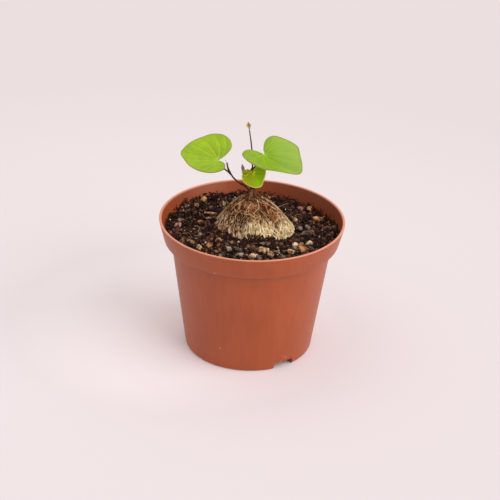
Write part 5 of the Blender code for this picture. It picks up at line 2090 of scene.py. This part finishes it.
@dataclass
class RootThreads:
    """Fine pale roots that show on the soil and over the caudex's shoulder, and a thread on the dead twig.

    Each is laid along a given route: places on the soil in mm, directions in degrees and heights on the
    caudex, and places in the air.
    """

    soil: PottingSoil
    radius: float = 0.16
    points: int = 16
    on_soil: tuple[Line, ...] = (
        ((28.5, 26.0), (30.5, 24.5), (33.0, 23.5)),
        ((-36.0, 3.0), (-33.5, -1.5), (-34.5, -6.5), (-30.0, -9.0)),
        ((-44.0, -8.0), (-40.0, -9.5), (-37.5, -13.5)), ((38.0, 16.5), (40.0, 14.5), (40.5, 12.0)),
        ((12.0, -30.0), (16.5, -32.0), (19.0, -35.5)))
    on_caudex: tuple[Line, ...] = (
        ((-10.0, 21.6), (-4.0, 18.2), (3.0, 13.6), (6.0, 8.5), (1.0, 4.0)),
        ((-38.0, 21.0), (-24.0, 17.0), (-12.0, 12.0), (-8.0, 7.0), (-15.0, 1.5)),
        ((-62.0, 21.4), (-65.0, 19.6), (-72.0, 17.6), (-86.0, 16.2)),
        ((-212.0, 21.0), (-196.0, 18.5), (-190.0, 14.5), (-192.0, 9.5), (-195.0, 5.0), (-191.0, 0.5)),
        ((-74.0, 18.0), (-62.0, 15.4), (-54.0, 11.5)), ((-120.0, 14.0), (-102.0, 14.2), (-82.0, 12.8)),
        ((-150.0, 20.5), (-160.0, 17.0), (-164.0, 12.5)), ((-98.0, 20.0), (-110.0, 17.6), (-116.0, 14.5)))
    in_air: tuple[tuple[Triple, ...], ...] = (
        ((-17.4, 7.6, 124.5), (-18.0, 7.5, 125.8), (-18.9, 7.3, 127.0)),
        ((16.0, 9.0, 93.6), (18.5, 9.6, 94.7), (21.0, 10.2, 95.6), (23.2, 10.8, 95.9)))

    def build(self) -> None:
        """Lay each thread along its route and hand them over."""
        share = np.linspace(0.0, 1.0, self.points)
        arch = np.sin(math.pi * share)
        thinning = 1.0 - 0.5 * share
        routes, radii = [], []
        for knots in self.on_soil:
            flat = curve_through(knots, share)
            height = self.soil.height_at(flat[:, 0], flat[:, 1]) + 0.7 + 1.3 * arch
            routes.append(np.column_stack([flat, height]))
            radii.append(self.radius * (1.0 - 0.6 * share))
        for knots in self.on_caudex:
            flat = curve_through(knots, share)
            out = 0.3 * arch + 0.1
            routes.append(self.soil.caudex.surface(np.radians(flat[:, 0]), flat[:, 1], out=out))
            radii.append(2.0 * self.radius * thinning)
        for knots in self.in_air:
            routes.append(curve_through(knots, share))
            radii.append(self.radius * thinning)
        threads = round_strands("root_threads", routes, radii, bevel=1)
        finish = PlainFibre("dry_root", 0.7, tones=("#D9BE90", "#9A7650"), grain=2.0)
        deliver(threads, finish.material(), crease=60)


# Studio


@dataclass
class Studio:
    """A pale card floor, soft light from the upper right, and the photograph's camera."""

    lens: float = 106.5
    target: Triple = (-0.716, 0.0, 66.61)
    distance: float = 961.93
    elevation_deg: float = 27.316
    roll_deg: float = 2.018
    view_depth: float = 20000.0
    floor_size: float = 9000.0
    wall_colour: str = "#FFFDFC"
    wall_strength: float = 0.885
    key_strength: float = 1.95
    key_width_deg: float = 60.0
    key_side_deg: float = 62.0
    key_elevation_deg: float = 33.0

    def lay_floor(self) -> None:
        """Lay the card that the pot stands on."""
        floor = add_primitive("floor", bpy.ops.mesh.primitive_plane_add, size=self.floor_size * MM)
        floor.data.materials.append(PaleCard().material())

    def set_camera(self) -> None:
        """Set the camera where the photograph was taken from."""
        lift, roll = math.radians(self.elevation_deg), math.radians(self.roll_deg)
        back = Vector((0.0, -math.cos(lift), math.sin(lift)))
        right, up = Vector((1.0, 0.0, 0.0)), Vector((0.0, math.sin(lift), math.cos(lift)))
        rolled_right = math.cos(roll) * right + math.sin(roll) * up
        rolled_up = math.cos(roll) * up - math.sin(roll) * right
        bpy.ops.object.camera_add()
        camera = bpy.context.object
        turn = Matrix((rolled_right, rolled_up, back)).transposed().to_4x4()
        camera.matrix_world = Matrix.Translation((Vector(self.target) + self.distance * back) * MM) @ turn
        camera.data.lens = self.lens
        camera.data.clip_end = self.view_depth * MM
        bpy.context.scene.camera = camera

    def set_lights(self) -> None:
        """Light the plant evenly from all round, with a broad soft key from the front right."""
        world = bpy.data.worlds.new("studio_walls")
        world.use_nodes = True
        walls = world.node_tree.nodes["Background"]
        walls.inputs["Color"].default_value = linear(self.wall_colour)
        walls.inputs["Strength"].default_value = self.wall_strength
        bpy.context.scene.world = world
        side, lift = math.radians(self.key_side_deg), math.radians(self.key_elevation_deg)
        to_key = Vector((math.sin(side) * math.cos(lift), -math.cos(side) * math.cos(lift), math.sin(lift)))
        bpy.ops.object.light_add(type="SUN")
        key = bpy.context.object
        key.name = "key_light"
        key.data.energy = self.key_strength
        key.data.angle = math.radians(self.key_width_deg)
        key.rotation_euler = (-to_key).to_track_quat("-Z", "Y").to_euler()

    def build(self) -> None:
        """Set up floor, lights and camera."""
        self.lay_floor()
        self.set_lights()
        self.set_camera()
        bpy.context.scene.view_settings.view_transform = "Standard"


def main() -> None:
    """Build the pot, the soil, the plant and the studio, in that order."""
    logging.basicConfig(level=logging.INFO, format="%(message)s")
    pot = NurseryPot()
    pot.dress(pot.build())
    caudex = Caudex()
    caudex.dress(caudex.build())
    CorkFibres(caudex).build()
    NeckRoots(caudex).build()
    soil = PottingSoil(pot, caudex)
    soil.dress(soil.build())
    soil.strew_all()
    soil.cling()
    LooseChips().build()
    RootThreads(soil).build()
    vine = Vine()
    vine.dress(vine.build())
    for leaf in heart_leaves():
        leaf.dress(leaf.build())
    tuft = ShootTip()
    tuft.dress(tuft.build())
    Bud("bud_top", (-3.7, 10.0, 147.3), (-4.7, 10.0, 152.3), 0.95, scales=(0.0, 180.0, -40.0, 220.0)).build()
    Bud("bud_brown", (-6.6, 7.0, 118.9), (-7.7, 6.9, 124.4), 1.15).build()
    Studio().build()


if __name__ == "__main__":
    main()
